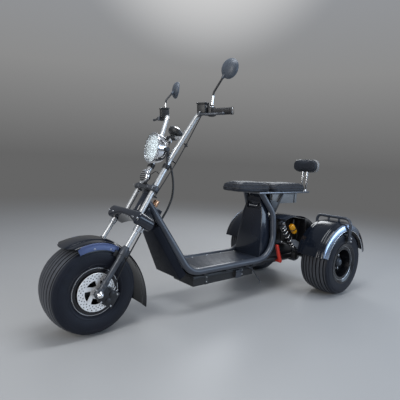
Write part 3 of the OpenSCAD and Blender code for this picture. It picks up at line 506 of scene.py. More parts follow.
class Shape:
    """One piece's mesh while it is being made, in millimetres from the front axle."""

    def __init__(self) -> None:
        """Starts empty."""
        self.bm = bmesh.new()

    def join(self, part: bmesh.types.BMesh, matrix: Matrix) -> "Shape":
        """Adds another mesh, moved by a matrix, and frees it."""
        bmesh.ops.remove_doubles(part, verts=part.verts, dist=0.01)
        bmesh.ops.recalc_face_normals(part, faces=part.faces)
        bmesh.ops.transform(part, matrix=matrix, verts=part.verts)
        mesh = bpy.data.meshes.new("part")
        part.to_mesh(mesh)
        part.free()
        self.bm.from_mesh(mesh)
        bpy.data.meshes.remove(mesh)
        return self

    def lathe(self, outline: Outline, matrix: Matrix, steps: int = 48, closed: bool = False) -> "Shape":
        """Spins an outline of (radius, height) points round the matrix's z axis.

        Args:
            outline: From pole to pole, or the whole section of a ring.
            matrix: Frame whose z axis the outline turns round.
            steps: Stretches in the full turn.
            closed: Whether the outline is a ring's section.

        Returns:
            The shape itself.
        """
        part = bmesh.new()
        verts = [part.verts.new((r, 0, h)) for r, h in outline]
        pairs = list(zip(verts, verts[1:])) + ([(verts[-1], verts[0])] if closed else [])
        edges = [part.edges.new(pair) for pair in pairs]
        bmesh.ops.spin(part, geom=verts + edges, cent=(0, 0, 0), axis=(0, 0, 1), angle=2 * math.pi,
                       steps=steps, use_merge=True)
        return self.join(part, matrix)

    def rod(self, start: Vector, end: Vector, radius: float, chamfer: float = 1.0, sides: int = 24) -> "Shape":
        """A round bar with broken edges between two points."""
        length = (Vector(end) - Vector(start)).length
        c = min(chamfer, radius * 0.6, length * 0.4)
        outline = [(0, 0), (radius - c, 0), (radius, c), (radius, length - c), (radius - c, length),
                   (0, length)]
        return self.lathe(outline, aim(Vector(start), Vector(end) - Vector(start)), sides)

    def block(self, size: tuple, matrix: Matrix, bevel: float = 2.0, segments: int = 3) -> "Shape":
        """A box with rounded edges about the matrix's origin."""
        part = bmesh.new()
        bmesh.ops.create_cube(part, size=1.0)
        bmesh.ops.scale(part, vec=size, verts=part.verts)
        bmesh.ops.bevel(part, geom=part.edges[:], offset=bevel, offset_type="OFFSET", segments=segments,
                        profile=0.5, affect="EDGES", material=-1)
        return self.join(part, matrix)

    def plate(self, outline: Outline, thick: float, matrix: Matrix, bevel: float = 1.0,
              corner: float = 0.0, segments: int = 2) -> "Shape":
        """A flat outline given a thickness upwards from the matrix's xy plane.

        Args:
            outline: Corners in the plane.
            thick: Thickness along z.
            matrix: Frame of the plate.
            bevel: Rounding of its edges.
            corner: Rounding of its corners seen from above.
            segments: Steps in the rounding of the edges.

        Returns:
            The shape itself.
        """
        part = bmesh.new()
        face = part.faces.new([part.verts.new((x, y, 0)) for x, y in outline])
        grown = bmesh.ops.extrude_face_region(part, geom=[face])
        raised = [v for v in grown["geom"] if isinstance(v, bmesh.types.BMVert)]
        bmesh.ops.translate(part, vec=(0, 0, thick), verts=raised)
        if corner:
            upright = [e for e in part.edges if abs(e.verts[0].co.z - e.verts[1].co.z) > thick / 2]
            bmesh.ops.bevel(part, geom=upright, offset=corner, offset_type="OFFSET", segments=5,
                            profile=0.5, affect="EDGES", material=-1)
        if bevel:
            rims = [e for e in part.edges if abs(e.verts[0].co.z - e.verts[1].co.z) < thick / 2]
            bmesh.ops.bevel(part, geom=rims, offset=bevel, offset_type="OFFSET", segments=segments,
                            profile=0.5, affect="EDGES", material=-1)
        return self.join(part, matrix)

    def pipe(self, path: Sequence[Vector], radius: float, sides: int = 16, cyclic: bool = False) -> "Shape":
        """A round tube along a path, open at its ends or closed to a ring."""
        curve = bpy.data.curves.new("path", "CURVE")
        curve.dimensions = "3D"
        curve.bevel_depth = radius
        curve.bevel_resolution = sides // 2 - 2
        curve.use_fill_caps = not cyclic
        spline = curve.splines.new("POLY")
        spline.points.add(len(path) - 1)
        for point, spot in zip(spline.points, path):
            point.co = (*spot, 1)
        spline.use_cyclic_u = cyclic
        holder = bpy.data.objects.new("path", curve)
        bpy.context.scene.collection.objects.link(holder)
        mesh = bpy.data.meshes.new_from_object(holder)
        part = bmesh.new()
        part.from_mesh(mesh)
        bpy.data.objects.remove(holder)
        bpy.data.curves.remove(curve)
        bpy.data.meshes.remove(mesh)
        return self.join(part, Matrix())

    def bead(self, centre: Vector, radius: float, stretch: tuple = (1, 1, 1)) -> "Shape":
        """A ball, stretched along the vehicle's axes."""
        part = bmesh.new()
        bmesh.ops.create_uvsphere(part, u_segments=16, v_segments=8, radius=radius)
        bmesh.ops.scale(part, vec=stretch, verts=part.verts)
        return self.join(part, Matrix.Translation(centre))

    def bolt(self, spot: Vector, way: Vector, across: float, height: float | None = None) -> "Shape":
        """A hexagon head on a washer, seated on a surface that faces the given way."""
        tall = height or across * 0.55
        seat = aim(Vector(spot), way)
        washer = across * 0.72
        self.lathe([(0, -0.6), (washer, -0.6), (washer, 1.0), (washer - 0.6, 1.6), (0, 1.6)], seat, 20)
        part = bmesh.new()
        bmesh.ops.create_cone(part, cap_ends=True, segments=6, radius1=across * 0.577, radius2=across * 0.577,
                              depth=tall)
        top = [e for e in part.edges if min(v.co.z for v in e.verts) > 0]
        bmesh.ops.bevel(part, geom=top, offset=across * 0.08, offset_type="OFFSET", segments=1, profile=0.5,
                        affect="EDGES", material=-1)
        return self.join(part, seat @ Matrix.Translation((0, 0, 1.2 + tall / 2)))

    def screw(self, spot: Vector, way: Vector, radius: float) -> "Shape":
        """A socket-headed screw with a domed rim."""
        hole, tall = radius * 0.5, radius * 0.8
        outline = [(0, tall * 0.35), (hole, tall * 0.35), (hole, tall), (radius * 0.8, tall),
                   (radius, tall * 0.6), (radius, -0.5), (0, -0.5)]
        return self.lathe(outline, aim(Vector(spot), way), 18)

    def mirrored(self) -> "Shape":
        """Adds the same again on the other side of the vehicle."""
        everything = self.bm.verts[:] + self.bm.edges[:] + self.bm.faces[:]
        bmesh.ops.mirror(self.bm, geom=everything, matrix=Matrix(), merge_dist=0.001, axis="Y")
        return self

    def flipped(self) -> "Shape":
        """Moves the shape to the other side of the vehicle."""
        bmesh.ops.transform(self.bm, matrix=Matrix.Diagonal((1, -1, 1, 1)), verts=self.bm.verts)
        bmesh.ops.reverse_faces(self.bm, faces=self.bm.faces)
        return self

    def holder(self, name: str) -> bpy.types.Object:
        """An object in the scene with this mesh as it is."""
        mesh = bpy.data.meshes.new(name)
        self.bm.to_mesh(mesh)
        made = bpy.data.objects.new(name, mesh)
        bpy.context.scene.collection.objects.link(made)
        return made

    def cut(self, tool: "Shape") -> "Shape":
        """Takes another shape's volume out of this one."""
        bmesh.ops.recalc_face_normals(self.bm, faces=self.bm.faces)
        bmesh.ops.recalc_face_normals(tool.bm, faces=tool.bm.faces)
        whole, cutter = self.holder("whole"), tool.holder("cutter")
        change = whole.modifiers.new("cut", "BOOLEAN")
        change.object = cutter
        change.operation = "DIFFERENCE"
        change.solver = "EXACT"
        bpy.context.view_layer.update()
        mesh = bpy.data.meshes.new_from_object(whole.evaluated_get(bpy.context.evaluated_depsgraph_get()))
        self.bm.clear()
        self.bm.from_mesh(mesh)
        for spent in (whole, cutter):
            old = spent.data
            bpy.data.objects.remove(spent)
            bpy.data.meshes.remove(old)
        bpy.data.meshes.remove(mesh)
        return self

    def node(self, name: str, bevel: float) -> "Shape":
        """Adds a CAD node's solid with its sharp edges rounded.

        Args:
            name: The CAD node.
            bevel: Rounding of its edges.

        Returns:
            The shape itself.
        """
        part = bmesh.new()
        part.from_mesh(frame["nodes"][name].data)
        bmesh.ops.transform(part, matrix=TO_FRAME.inverted(), verts=part.verts)
        bmesh.ops.remove_doubles(part, verts=part.verts, dist=0.02)
        bmesh.ops.dissolve_limit(part, angle_limit=math.radians(0.5), verts=part.verts, edges=part.edges,
                                 use_dissolve_boundaries=False, delimit=set())
        edges = [e for e in part.edges if e.is_manifold and e.calc_face_angle() > math.radians(SHARP)]
        bmesh.ops.bevel(part, geom=edges, offset=bevel, offset_type="OFFSET", segments=2, profile=0.5,
                        affect="EDGES", clamp_overlap=True, material=-1)
        return self.join(part, Matrix())

    def piece(self, name: str, body: Body, finish: Finish, replaces: Iterable[str] = (),
              sharp: float = 34.0) -> bpy.types.Object:
        """Turns the shape into a finished piece of the tricycle.

        Args:
            name: The piece's name.
            body: The body it rides on.
            finish: Its finish.
            replaces: CAD nodes that it stands for.
            sharp: Angle in degrees past which an edge shows.

        Returns:
            The new object.
        """
        bmesh.ops.recalc_face_normals(self.bm, faces=self.bm.faces)
        bmesh.ops.transform(self.bm, matrix=TO_FRAME, verts=self.bm.verts)
        made = self.holder(name)
        self.bm.free()
        made.data.shade_smooth()
        made.data.set_sharp_from_angle(angle=math.radians(sharp))
        made.data.materials.append(finish.material())
        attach(made, body.value)
        if replaces:
            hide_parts(*replaces)
        log.info("%s on %s, %d faces", name, body.value, len(made.data.polygons))
        return made


def dress(finish: Finish, *nodes: str) -> None:
    """Gives CAD nodes that stay as they are a finish."""
    for node in nodes:
        slots = frame["nodes"][node].data.materials
        slots.clear()
        slots.append(finish.material())


def rounded(node: str, ending: str, bevel: float, body: Body, finish: Finish) -> None:
    """Stands a round-edged copy in for a CAD node.

    Args:
        node: The CAD node.
        ending: What the piece's name adds to the node's.
        bevel: Rounding of its edges.
        body: The body it rides on.
        finish: Its finish.
    """
    Shape().node(node, bevel).piece(f"{node}_{ending}", body, finish, [node])


@dataclass
class Studio:
    """Pale floor, soft lamps and the camera at the photograph's place."""

    eye: Vector = field(default_factory=lambda: Vector((770.8, 1764.4, 876.2)))
    yaw: float = 0.6985
    pitch: float = 0.1003
    roll: float = 0.0501
    lens: float = 33.961
    floor_half: float = 40.0
    paper: tuple[float, float, float] = (0.37, 0.37, 0.37)
    horizon: tuple[float, float, float] = (0.13, 0.13, 0.13)
    wall: tuple[float, float, float] = (0.26, 0.26, 0.26)
    overhead: tuple[float, float, float] = (0.34, 0.37, 0.42)
    fade: tuple[float, float] = (1.6, 7.0)
    glow: tuple[float, float, float] = (0.66, 0.66, 0.66)
    glow_way: Vector = field(default_factory=lambda: Vector((-0.55, -0.66, 0.56)))
    glow_spread: tuple[float, float] = (0.94, 1.0)

    def camera(self) -> None:
        """Sets the camera up; yaw is from straight across, pitch is downwards."""
        look = Vector((-math.sin(self.yaw) * math.cos(self.pitch), -math.cos(self.yaw) * math.cos(self.pitch),
                       -math.sin(self.pitch)))
        flat = look.cross(UP).normalized()
        top = flat.cross(look)
        across = flat * math.cos(self.roll) + top * math.sin(self.roll)
        above = top * math.cos(self.roll) - flat * math.sin(self.roll)
        data = bpy.data.cameras.new("camera")
        data.sensor_width = 36.0
        data.lens = self.lens
        made = bpy.data.objects.new("camera", data)
        bpy.context.scene.collection.objects.link(made)
        made.matrix_world = Matrix((across, above, -look)).transposed().to_4x4()
        made.location = TO_FRAME @ self.eye
        bpy.context.scene.camera = made

    def lamp(self, name: str, spot: Vector, target: Vector, size: tuple[float, float], power: float,
             colour: tuple[float, float, float]) -> None:
        """A soft rectangular lamp turned to a target, in metres."""
        data = bpy.data.lights.new(name, "AREA")
        data.shape = "RECTANGLE"
        data.size, data.size_y = size
        data.energy = power
        data.color = colour
        made = bpy.data.objects.new(name, data)
        bpy.context.scene.collection.objects.link(made)
        made.matrix_world = (spot - target).to_track_quat("Z", "Y").to_matrix().to_4x4()
        made.location = spot
        made.visible_camera = False

    def floor(self) -> None:
        """A wide pale floor that fades into the room with distance."""
        part = bmesh.new()
        bmesh.ops.create_grid(part, x_segments=1, y_segments=1, size=self.floor_half)
        mesh = bpy.data.meshes.new("floor")
        part.to_mesh(mesh)
        part.free()
        made = bpy.data.objects.new("floor", mesh)
        bpy.context.scene.collection.objects.link(made)
        graph = Graph("floor_paper")
        graph.set(Base_Color=graph.mix(graph.noise(2.0), self.paper, tuple(c * 1.06 for c in self.paper)),
                  Roughness=0.42)
        graph.bump(graph.noise(300.0), 0.05, 0.0005)
        far = graph.node("VectorMath", {"operation": "LENGTH"}, {0: graph.place()}, "Value").rise(*self.fade)
        haze = graph.node("Emission", {}, {"Color": self.horizon, "Strength": 1.0})
        ground = graph.node("MixShader", {}, {0: far, 1: Value(graph, graph.shader.outputs[0]), 2: haze})
        graph.feed(graph.tree.nodes["Material Output"].inputs["Surface"], ground)
        mesh.materials.append(graph.material)

    def sky(self) -> None:
        """A grey room, brighter overhead, with a glow high on the wall that faces the camera."""
        world = bpy.data.worlds.new("room")
        bpy.context.scene.world = world
        world.use_nodes = True
        tree = world.node_tree
        back = tree.nodes["Background"]
        way = tree.nodes.new("ShaderNodeTexCoord")
        split = tree.nodes.new("ShaderNodeSeparateXYZ")
        ramp = tree.nodes.new("ShaderNodeValToRGB")
        ramp.color_ramp.elements[0].color = (*self.horizon, 1)
        ramp.color_ramp.elements[1].position = 0.7
        ramp.color_ramp.elements[1].color = (*self.overhead, 1)
        ramp.color_ramp.elements.new(0.22).color = (*self.wall, 1)
        near = tree.nodes.new("ShaderNodeVectorMath")
        near.operation = "DOT_PRODUCT"
        near.inputs[1].default_value = self.glow_way.normalized()
        glow = tree.nodes.new("ShaderNodeMapRange")
        glow.interpolation_type = "SMOOTHSTEP"
        glow.inputs[1].default_value, glow.inputs[2].default_value = self.glow_spread
        blend = tree.nodes.new("ShaderNodeMix")
        blend.data_type = "RGBA"
        blend.inputs[7].default_value = (*self.glow, 1)
        for start, end in ((way.outputs["Generated"], split.inputs[0]), (split.outputs["Z"], ramp.inputs[0]),
                           (way.outputs["Generated"], near.inputs[0]), (near.outputs["Value"], glow.inputs[0]),
                           (glow.outputs[0], blend.inputs[0]), (ramp.outputs[0], blend.inputs[6]),
                           (blend.outputs[2], back.inputs["Color"])):
            tree.links.new(start, end)

    def build(self) -> None:
        """Camera, floor, lamps and room."""
        self.camera()
        self.floor()
        self.sky()
        middle = Vector((0, 0, 0.5))
        self.lamp("top", Vector((0.1, 0.5, 3.2)), middle, (2.4, 0.8), 58.0, (0.92, 0.96, 1.0))
        self.lamp("front", Vector((3.4, 0.9, 1.5)), middle, (0.9, 1.8), 52.0, (1.0, 0.99, 0.97))
        self.lamp("left", Vector((-1.9, 3.0, 1.35)), Vector((-0.6, 0, 0.6)), (4.2, 1.1), 64.0,
                  (0.60, 0.77, 1.0))
        self.lamp("back", Vector((-2.8, -2.2, 2.4)), middle, (1.6, 1.2), 34.0, (0.92, 0.96, 1.0))
        bpy.context.scene.view_settings.view_transform = "Standard"


@dataclass
class Loom:
    """Spiral-wrapped wiring loom from the handlebar's socket down to the leg shield's gland."""

    thick: float = 13.0
    tape_pitch: float = 12.0
    tape_step: float = 0.9
    sides: int = 16
    top: Vector = field(default_factory=lambda: Vector((-467.4, 0, 979.4)))
    foot: Vector = field(default_factory=lambda: Vector((-408.1, 0, 518.0)))
    foot_way: Vector = field(default_factory=lambda: Vector((-0.8743, 0, 0.4853)))
    steered_from: Vector = field(default_factory=lambda: Vector((-470, 0, 598)))
    steered_whole: Vector = field(default_factory=lambda: Vector((-460, 0, 930)))

    def corners(self) -> list[Vector]:
        """Points of the CAD route, from the socket to the gland."""
        inner = [(-456, 942), (-459, 912), (-467, 880), (-479, 846), (-491, 808), (-500, 766), (-504, 730),
                 (-503, 696), (-497, 660), (-484, 627), (-467, 592), (-446, 560)]
        straight = self.top - STEER_WAY.normalized() * 14
        return [self.top, straight, *(Vector((x, 0, z)) for x, z in inner), self.foot + self.foot_way * 16,
                self.foot]

    def route(self) -> list[Vector]:
        """The CAD route drawn smoothly, with even steps between its points."""
        knots = self.corners()
        ends = [knots[0] * 2 - knots[1], *knots, knots[-1] * 2 - knots[-2]]
        dense = []
        for a, b, c, d in zip(ends, ends[1:], ends[2:], ends[3:]):
            for i in range(24):
                t = i / 24
                dense.append(0.5 * (2 * b + (c - a) * t + (2 * a - 5 * b + 4 * c - d) * t * t
                                    + (3 * b - a - 3 * c + d) * t ** 3))
        dense.append(knots[-1])
        return dense

    def wrap(self, shape: Shape, path: Sequence[Vector]) -> None:
        """Raises the tape's spiral edge on the loom's skin."""
        far = [0.0]
        for a, b in zip(path, path[1:]):
            far.append(far[-1] + (b - a).length)
        for vert in shape.bm.verts:
            near = min(range(len(path)), key=lambda i: (path[i] - vert.co).length_squared)
            way = (path[min(near + 1, len(path) - 1)] - path[max(near - 1, 0)]).normalized()
            off = vert.co - path[near]
            off -= way * off.dot(way)
            if off.length < self.thick * 0.3:
                continue
            turn = math.atan2(off.dot(way.cross(LEFT)), off.dot(LEFT)) / (2 * math.pi)
            phase = (far[near] / self.tape_pitch - turn) % 1.0
            vert.co += off.normalized() * self.tape_step * (min(phase / 0.85, (1 - phase) / 0.15) - 1.0)

    def build(self) -> None:
        """The loom, laid along its route between the frame and the fork."""
        path = self.route()
        shape = Shape().pipe(path, self.thick / 2, self.sides)
        self.wrap(shape, path)
        bmesh.ops.recalc_face_normals(shape.bm, faces=shape.bm.faces)
        bmesh.ops.transform(shape.bm, matrix=TO_FRAME, verts=shape.bm.verts)
        loom = shape.holder("wiring_loom_wrapped")
        shape.bm.free()
        loom.data.shade_smooth()
        loom.data.materials.append(PLASTIC.material())
        spots = [TO_FRAME @ p for p in path]
        length = sum((b - a).length for a, b in zip(spots, spots[1:]))
        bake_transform(loom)
        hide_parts("wiring_loom")
        log.info("wiring_loom_wrapped, %.3f m long", length)


@dataclass
class Wheel:
    """A fat tyre with a ribbed tread on a dished rim."""

    body: Body
    tyre_node: str
    rim_node: str
    middle: Vector
    outward: float = 1.0
    radius: float = TYRE_R
    crown_arc: float = 330.0
    wall_arc: float = 95.0
    wall_centre: tuple[float, float] = (170.0, 13.5)
    grooves: tuple[float, ...] = (0.0, 26.0, 52.0, 77.0)
    groove_w: float = 7.5
    groove_d: float = 8.0
    bead_r: float = 122.4
    bead_half: float = 88.6
    inner_r: float = 105.0
    flange_r: float = 121.0
    flange_half: float = 94.0

    def crown(self, across: float) -> float:
        """Radius of the tread's surface at a place across it."""
        return self.radius - self.crown_arc + math.sqrt(self.crown_arc ** 2 - across ** 2)

    def half_outline(self) -> list[tuple[float, float]]:
        """Half the tyre's section from the middle of the tread to the bead."""
        points: list[tuple[float, float]] = []
        for spot in self.grooves:
            low, near, far = self.crown(spot) - self.groove_d, self.groove_w / 2, self.groove_w / 2 - 1.4
            if spot:
                points += [(self.crown(spot - near - 1.2), spot - near - 1.2),
                           (self.crown(spot - near) - 0.7, spot - near)]
                points += [(low, spot - far)]
            points += [(low, spot + far), (self.crown(spot + near) - 0.7, spot + near)]
            points += [(self.crown(spot + near + 1.2), spot + near + 1.2)]
        points += [(self.crown(90), 90), (self.crown(97), 97)]
        ridges = {15.0: 1.3, 11.5: 1.3, -19.0: 1.8, -22.0: 2.6, -25.0: 1.6}
        for angle in (24.0, 21.0, 18.0, 15.5, 15.0, 11.5, 11.0, 6.0, 0.0, -6.0, -12.0, -18.5, -19.0, -22.0,
                      -25.0, -28.0):
            reach, turn = self.wall_arc + ridges.get(angle, 0.0), math.radians(angle)
            points.append((self.wall_centre[0] + reach * math.sin(turn),
                           self.wall_centre[1] + reach * math.cos(turn)))
        return [*points, (self.bead_r, 95.0), (self.bead_r, self.bead_half), (self.inner_r, self.bead_half)]

    def tyre(self) -> None:
        """The tyre with grooves round its tread and ridges on its walls."""
        half = self.half_outline()
        other = [(r, -h) for r, h in reversed(half)]
        rubber = Rubber("tyre_rubber", (0.006, 0.008, 0.015), 0.48, shine=0.28,
                        axle=tuple(TO_FRAME @ self.middle), wheel=self.body.value,
                        reach=self.radius * MM, crown_arc=self.crown_arc * MM)
        shape = Shape().lathe(other + half, aim(self.middle, LEFT), 160, closed=True)
        shape.piece(self.tyre_node + "_ribbed", self.body, rubber, [self.tyre_node])

    def rim(self) -> None:
        """The rim with rounded edges, rolled lips and a valve."""
        shape = Shape().node(self.rim_node, 1.6)
        shape.piece(self.rim_node + "_dished", self.body, RIM_BLACK, [self.rim_node])
        lips = Shape()
        for side in (1, -1):
            ring = arc((self.flange_r - 3.4, side * (self.flange_half - 2.4)), 3.6, 0, 324, 9)
            lips.lathe(ring, aim(self.middle, LEFT), 96, closed=True)
        lips.piece(self.rim_node + "_lips", self.body, LIP)
        valve = Shape()
        foot = self.middle + Vector((0, self.outward * 52, 0)) + Vector((97, 0, 0))
        tip = foot + Vector((-16, self.outward * 24, 0))
        valve.rod(foot, tip, 4.5).rod(tip - (tip - foot) * 0.35, tip + (tip - foot) * 0.1, 5.6, 0.8)
        valve.piece(self.rim_node + "_valve", self.body, GRIP)


@dataclass
class FrontWheel(Wheel):
    """The steered wheel with its drilled brake disc."""

    disc_r: float = 96.0
    disc_y: float = 102.0
    disc_t: float = 3.5
    bore: float = 13.0
    window_n: int = 5
    window: tuple[float, float] = (31.0, 60.0)
    drilled: tuple[tuple[float, float], ...] = ((69.5, 0.0), (79.0, 0.5), (88.5, 0.0))
    drilled_n: int = 24
    hole_r: float = 3.1

    def disc(self) -> None:
        """The disc with swept windows, three rows of drilled holes and its bolts."""
        seat = aim(self.middle + Vector((0, self.disc_y, 0)), LEFT)
        edge = 0.5
        ring = [(self.bore, 0), (self.disc_r - edge, 0), (self.disc_r, edge), (self.disc_r, self.disc_t - edge),
                (self.disc_r - edge, self.disc_t), (self.bore, self.disc_t)]
        shape, tool = Shape().lathe(ring, seat, 120, closed=True), Shape()
        below = seat @ Matrix.Translation((0, 0, -2))
        for row, shift in self.drilled:
            for i in range(self.drilled_n):
                turn = 2 * math.pi * (i + shift) / self.drilled_n
                spot = below @ Vector((row * math.cos(turn), row * math.sin(turn), 0))
                tool.rod(spot, spot + LEFT * (self.disc_t + 4), self.hole_r, 0.01, 12)
        low, high = self.window
        for i in range(self.window_n):
            start = 360 * i / self.window_n
            outline = arc((0, 0), low, start, start + 30, 4) + arc((0, 0), high, start + 56, start + 8, 7)
            tool.plate(outline, self.disc_t + 4, below, 0.0)
        shape.cut(tool)
        shape.piece("front_disc_drilled", self.body, DISC_STEEL, ["front_disc"], 25.0)
        bolts = Shape()
        for i in range(5):
            turn = 2 * math.pi * (i + 0.5) / 5
            spot = seat @ Vector((20 * math.cos(turn), 20 * math.sin(turn), self.disc_t))
            bolts.screw(spot, LEFT, 4.2)
        bolts.piece("disc_bolts", self.body, STEEL)

    def build(self) -> None:
        """Tyre, rim and disc."""
        self.tyre()
        self.rim()
        self.disc()


@dataclass
class RearWheel(Wheel):
    """A driven wheel with its nuts, wide flanges and hub cap."""

    nut_circle: float = 48.0
    web_face: float = 40.0
    hub_face: float = 60.0

    def build(self) -> None:
        """Tyre, rim, nuts, flanges and hub cap."""
        self.tyre()
        self.rim()
        way = LEFT * self.outward
        nuts = Shape()
        for i in range(5):
            turn = 2 * math.pi * (i + 0.5) / 5
            spot = Vector((math.cos(turn), 0, math.sin(turn))) * self.nut_circle + way * self.web_face
            nuts.bolt(self.middle + spot, way, 17, 13)
        nuts.piece(self.rim_node + "_nuts", self.body, STEEL)
        flange = Shape()
        ring = [(119, 96.4), (124, 99.6), (130, 102.8), (136, 105.6), (140, 107), (142.4, 106.4), (142, 103),
                (119, 93)]
        for side in (1, -1):
            flange.lathe([(r, side * y) for r, y in ring][::side], aim(self.middle, LEFT), 96, closed=True)
        flange.piece(self.rim_node + "_flanges", self.body, RIM_BLACK)
        cap = Shape()
        outline = [(0, 22), (9, 21.5), (17, 19), (23, 14), (26, 8), (30, 5), (31, 0), (31, -3), (0, -3)]
        cap.lathe(outline, aim(self.middle + way * self.hub_face, way), 36)
        cap.piece(self.rim_node + "_cap", self.body, DARK_ALLOY)


@dataclass
class Fork:
    """Fork legs, crowns, axle, caliper and front brake hose."""

    leg_y: float = 131.0
    lower_r: float = 17.0
    collar_r: float = 20.0
    crown_low: float = 384.0
    crown_top: float = 442.0
    crown_end: float = 34.0
    arch_r: float = 300.0
    arch_rise: float = 22.0
    crown_front: float = 28.0
    crown_deep: float = 106.0
    plate_low: float = 580.0
    plate_top: float = 604.0
    riser_y: float = 74.0
    riser_back: float = 24.0

    def at(self, x: float, y: float, z: float) -> Vector:
        """A point of the fork's own frame."""
        return FORK @ Vector((x, y, z))

    def on_leg(self, x: float, y: float, z: float) -> Vector:
        """A point of the legs' frame."""
        return LEGS @ Vector((x, y, z))

    def legs(self) -> None:
        """Lower legs with a clamp collar, grooved foot and seal on each."""
        r, big = self.lower_r, self.collar_r
        outline = [(0, -24), (r - 10, -24), (r - 4, -21), (r - 1, -15), (r, -8), (r, 24), (r - 1.4, 27),
                   (r - 1.4, 33), (r, 36), (r, 46), (r - 1.4, 49), (r - 1.4, 55), (r, 58), (r, 68),
                   (r - 2.2, 74), (r - 2.2, 180), (r, 186), (r, 209), (big - 1, 210.5), (big, 213),
                   (big, 246.5), (big - 1.5, 250), (r, 250.8), (r, 255), (r - 1.6, 258), (r - 3.3, 258.6),
                   (r - 3.3, 230), (0, 230)]
        shape = Shape().lathe(outline, LEGS @ Matrix.Translation((0, self.leg_y, 0)), 40)
        shape.block((26, 27, 40), LEGS @ Matrix.Translation((7, self.leg_y, 2)), 7)
        shape.block((16, 20, 32), LEGS @ Matrix.Translation((-20, self.leg_y, 231)), 3)
        shape.mirrored().piece("fork_lowers_turned", Body.FORK, DARK_ALLOY, ["fork_lowers"])
        trim = Shape()
        for z in (222, 240):
            trim.screw(self.on_leg(-28, self.leg_y, z), LEGS.to_3x3() @ -FORWARD, 4)
        trim.screw(self.on_leg(20, self.leg_y, 10), LEGS.to_3x3() @ FORWARD, 4.5)
        trim.mirrored().piece("fork_leg_screws", Body.FORK, STEEL)
        dress(BRUSHED, "stanchions")

    def axle(self) -> None:
        """Axle with domed nuts."""
        shape = Shape().node("front_axle", 0.6)
        face = self.leg_y + self.lower_r
        dome = [(0, 19), (5, 18.4), (9, 16), (11.8, 12), (12.6, 8), (15, 6.5), (17, 4), (17, 0), (0, 0)]
        shape.lathe(dome, aim(Vector((0, face, TYRE_R)), LEFT), 30)
        shape.lathe(dome, aim(Vector((0, -face, TYRE_R)), RIGHT), 30)
        shape.piece("front_axle_nuts", Body.FORK, CHROME, ["front_axle"])

    def lower_crown(self) -> None:
        """Arched casting over the stanchions with round ends, and the steering stem."""
        centre = self.crown_low + self.arch_rise - self.arch_r
        arch = [(y, centre + math.sqrt(self.arch_r ** 2 - y * y))
                for y in (0, 30, 60, 85, 105, 120, self.leg_y + 2)]
        half = arch + arc((self.leg_y, self.crown_top - self.crown_end), self.crown_end, -80, 90, 16)
        outline = [(-y, z) for y, z in reversed(half[1:])] + half
        across = Matrix(((0, 0, -1, 0), (1, 0, 0, 0), (0, 1, 0, 0), (0, 0, 0, 1)))
        stand = FORK @ Matrix.Translation((self.crown_front, 0, 0)) @ across
        shape = Shape().plate(outline, self.crown_deep, stand, 11, segments=5)
        for side in (1, -1):
            foot = (-self.riser_back, side * self.riser_y)
            shape.rod(self.at(*foot, self.crown_top - 8), self.at(*foot, self.crown_top + 8), 21, 3)
        shape.rod(self.at(-STEER_BACK, 0, self.crown_top - 12),
                  self.at(-STEER_BACK, 0, self.plate_top + 12), 15)
        shape.piece("lower_crown_cast", Body.FORK, GLOSS, ["lower_crown"])
        rings = Shape()
        ring = [(13.7, 346), (17.4, 346), (18.6, 347.5), (18.6, 376), (13.7, 376)]
        rings.lathe(ring, LEGS @ Matrix.Translation((0, self.leg_y, 0)), 32, True)
        for y in (self.leg_y - 22, self.leg_y + 20):
            rings.screw(self.at(self.crown_front - 0.4, y, 404), FORK.to_3x3() @ FORWARD, 5)
        rings.mirrored().piece("lower_crown_rings", Body.FORK, STEEL)

    def upper_crown(self) -> None:
        """Top plate with round ends, pinch screws and the stem nut."""
        half = [(4, 0), (4, 44), *arc((-self.riser_back, self.riser_y), 28, 0, 180, 14), (-STEER_BACK, 44),
                *arc((-STEER_BACK, 0), 26, 90, 180, 8)]
        outline = half + [(x, -y) for x, y in reversed(half[1:-1])]
        face = FORK @ Matrix.Translation((0, 0, self.plate_low))
        shape = Shape().plate(outline, self.plate_top - self.plate_low, face, 4, segments=3)
        tool = Shape()
        for side in (1, -1):
            spot = (-self.riser_back, side * self.riser_y)
            tool.rod(self.at(*spot, self.plate_low - 5), self.at(*spot, self.plate_top + 5), 14.2, 0.0, 40)
        shape.cut(tool)
        for side in (1, -1):
            ring = [(14.3, -4), (21, -4), (22, -3), (22, 28), (20, 31), (14.3, 31)]
            foot = FORK @ Matrix.Translation((-self.riser_back, side * self.riser_y, self.plate_low))
            shape.lathe(ring, foot, 36, True)
        shape.piece("upper_crown_cast", Body.FORK, DARK_ALLOY, ["upper_crown"])
        bolts = Shape()
        for y in (self.riser_y - 26, self.riser_y + 22):
            bolts.screw(self.at(2, y, self.plate_low + 12), FORK.to_3x3() @ FORWARD, 4)
        bolts.mirrored().bolt(self.at(-STEER_BACK, 0, self.plate_top), FORK.to_3x3() @ UP, 32, 14)
        bolts.piece("upper_crown_bolts", Body.FORK, STEEL)

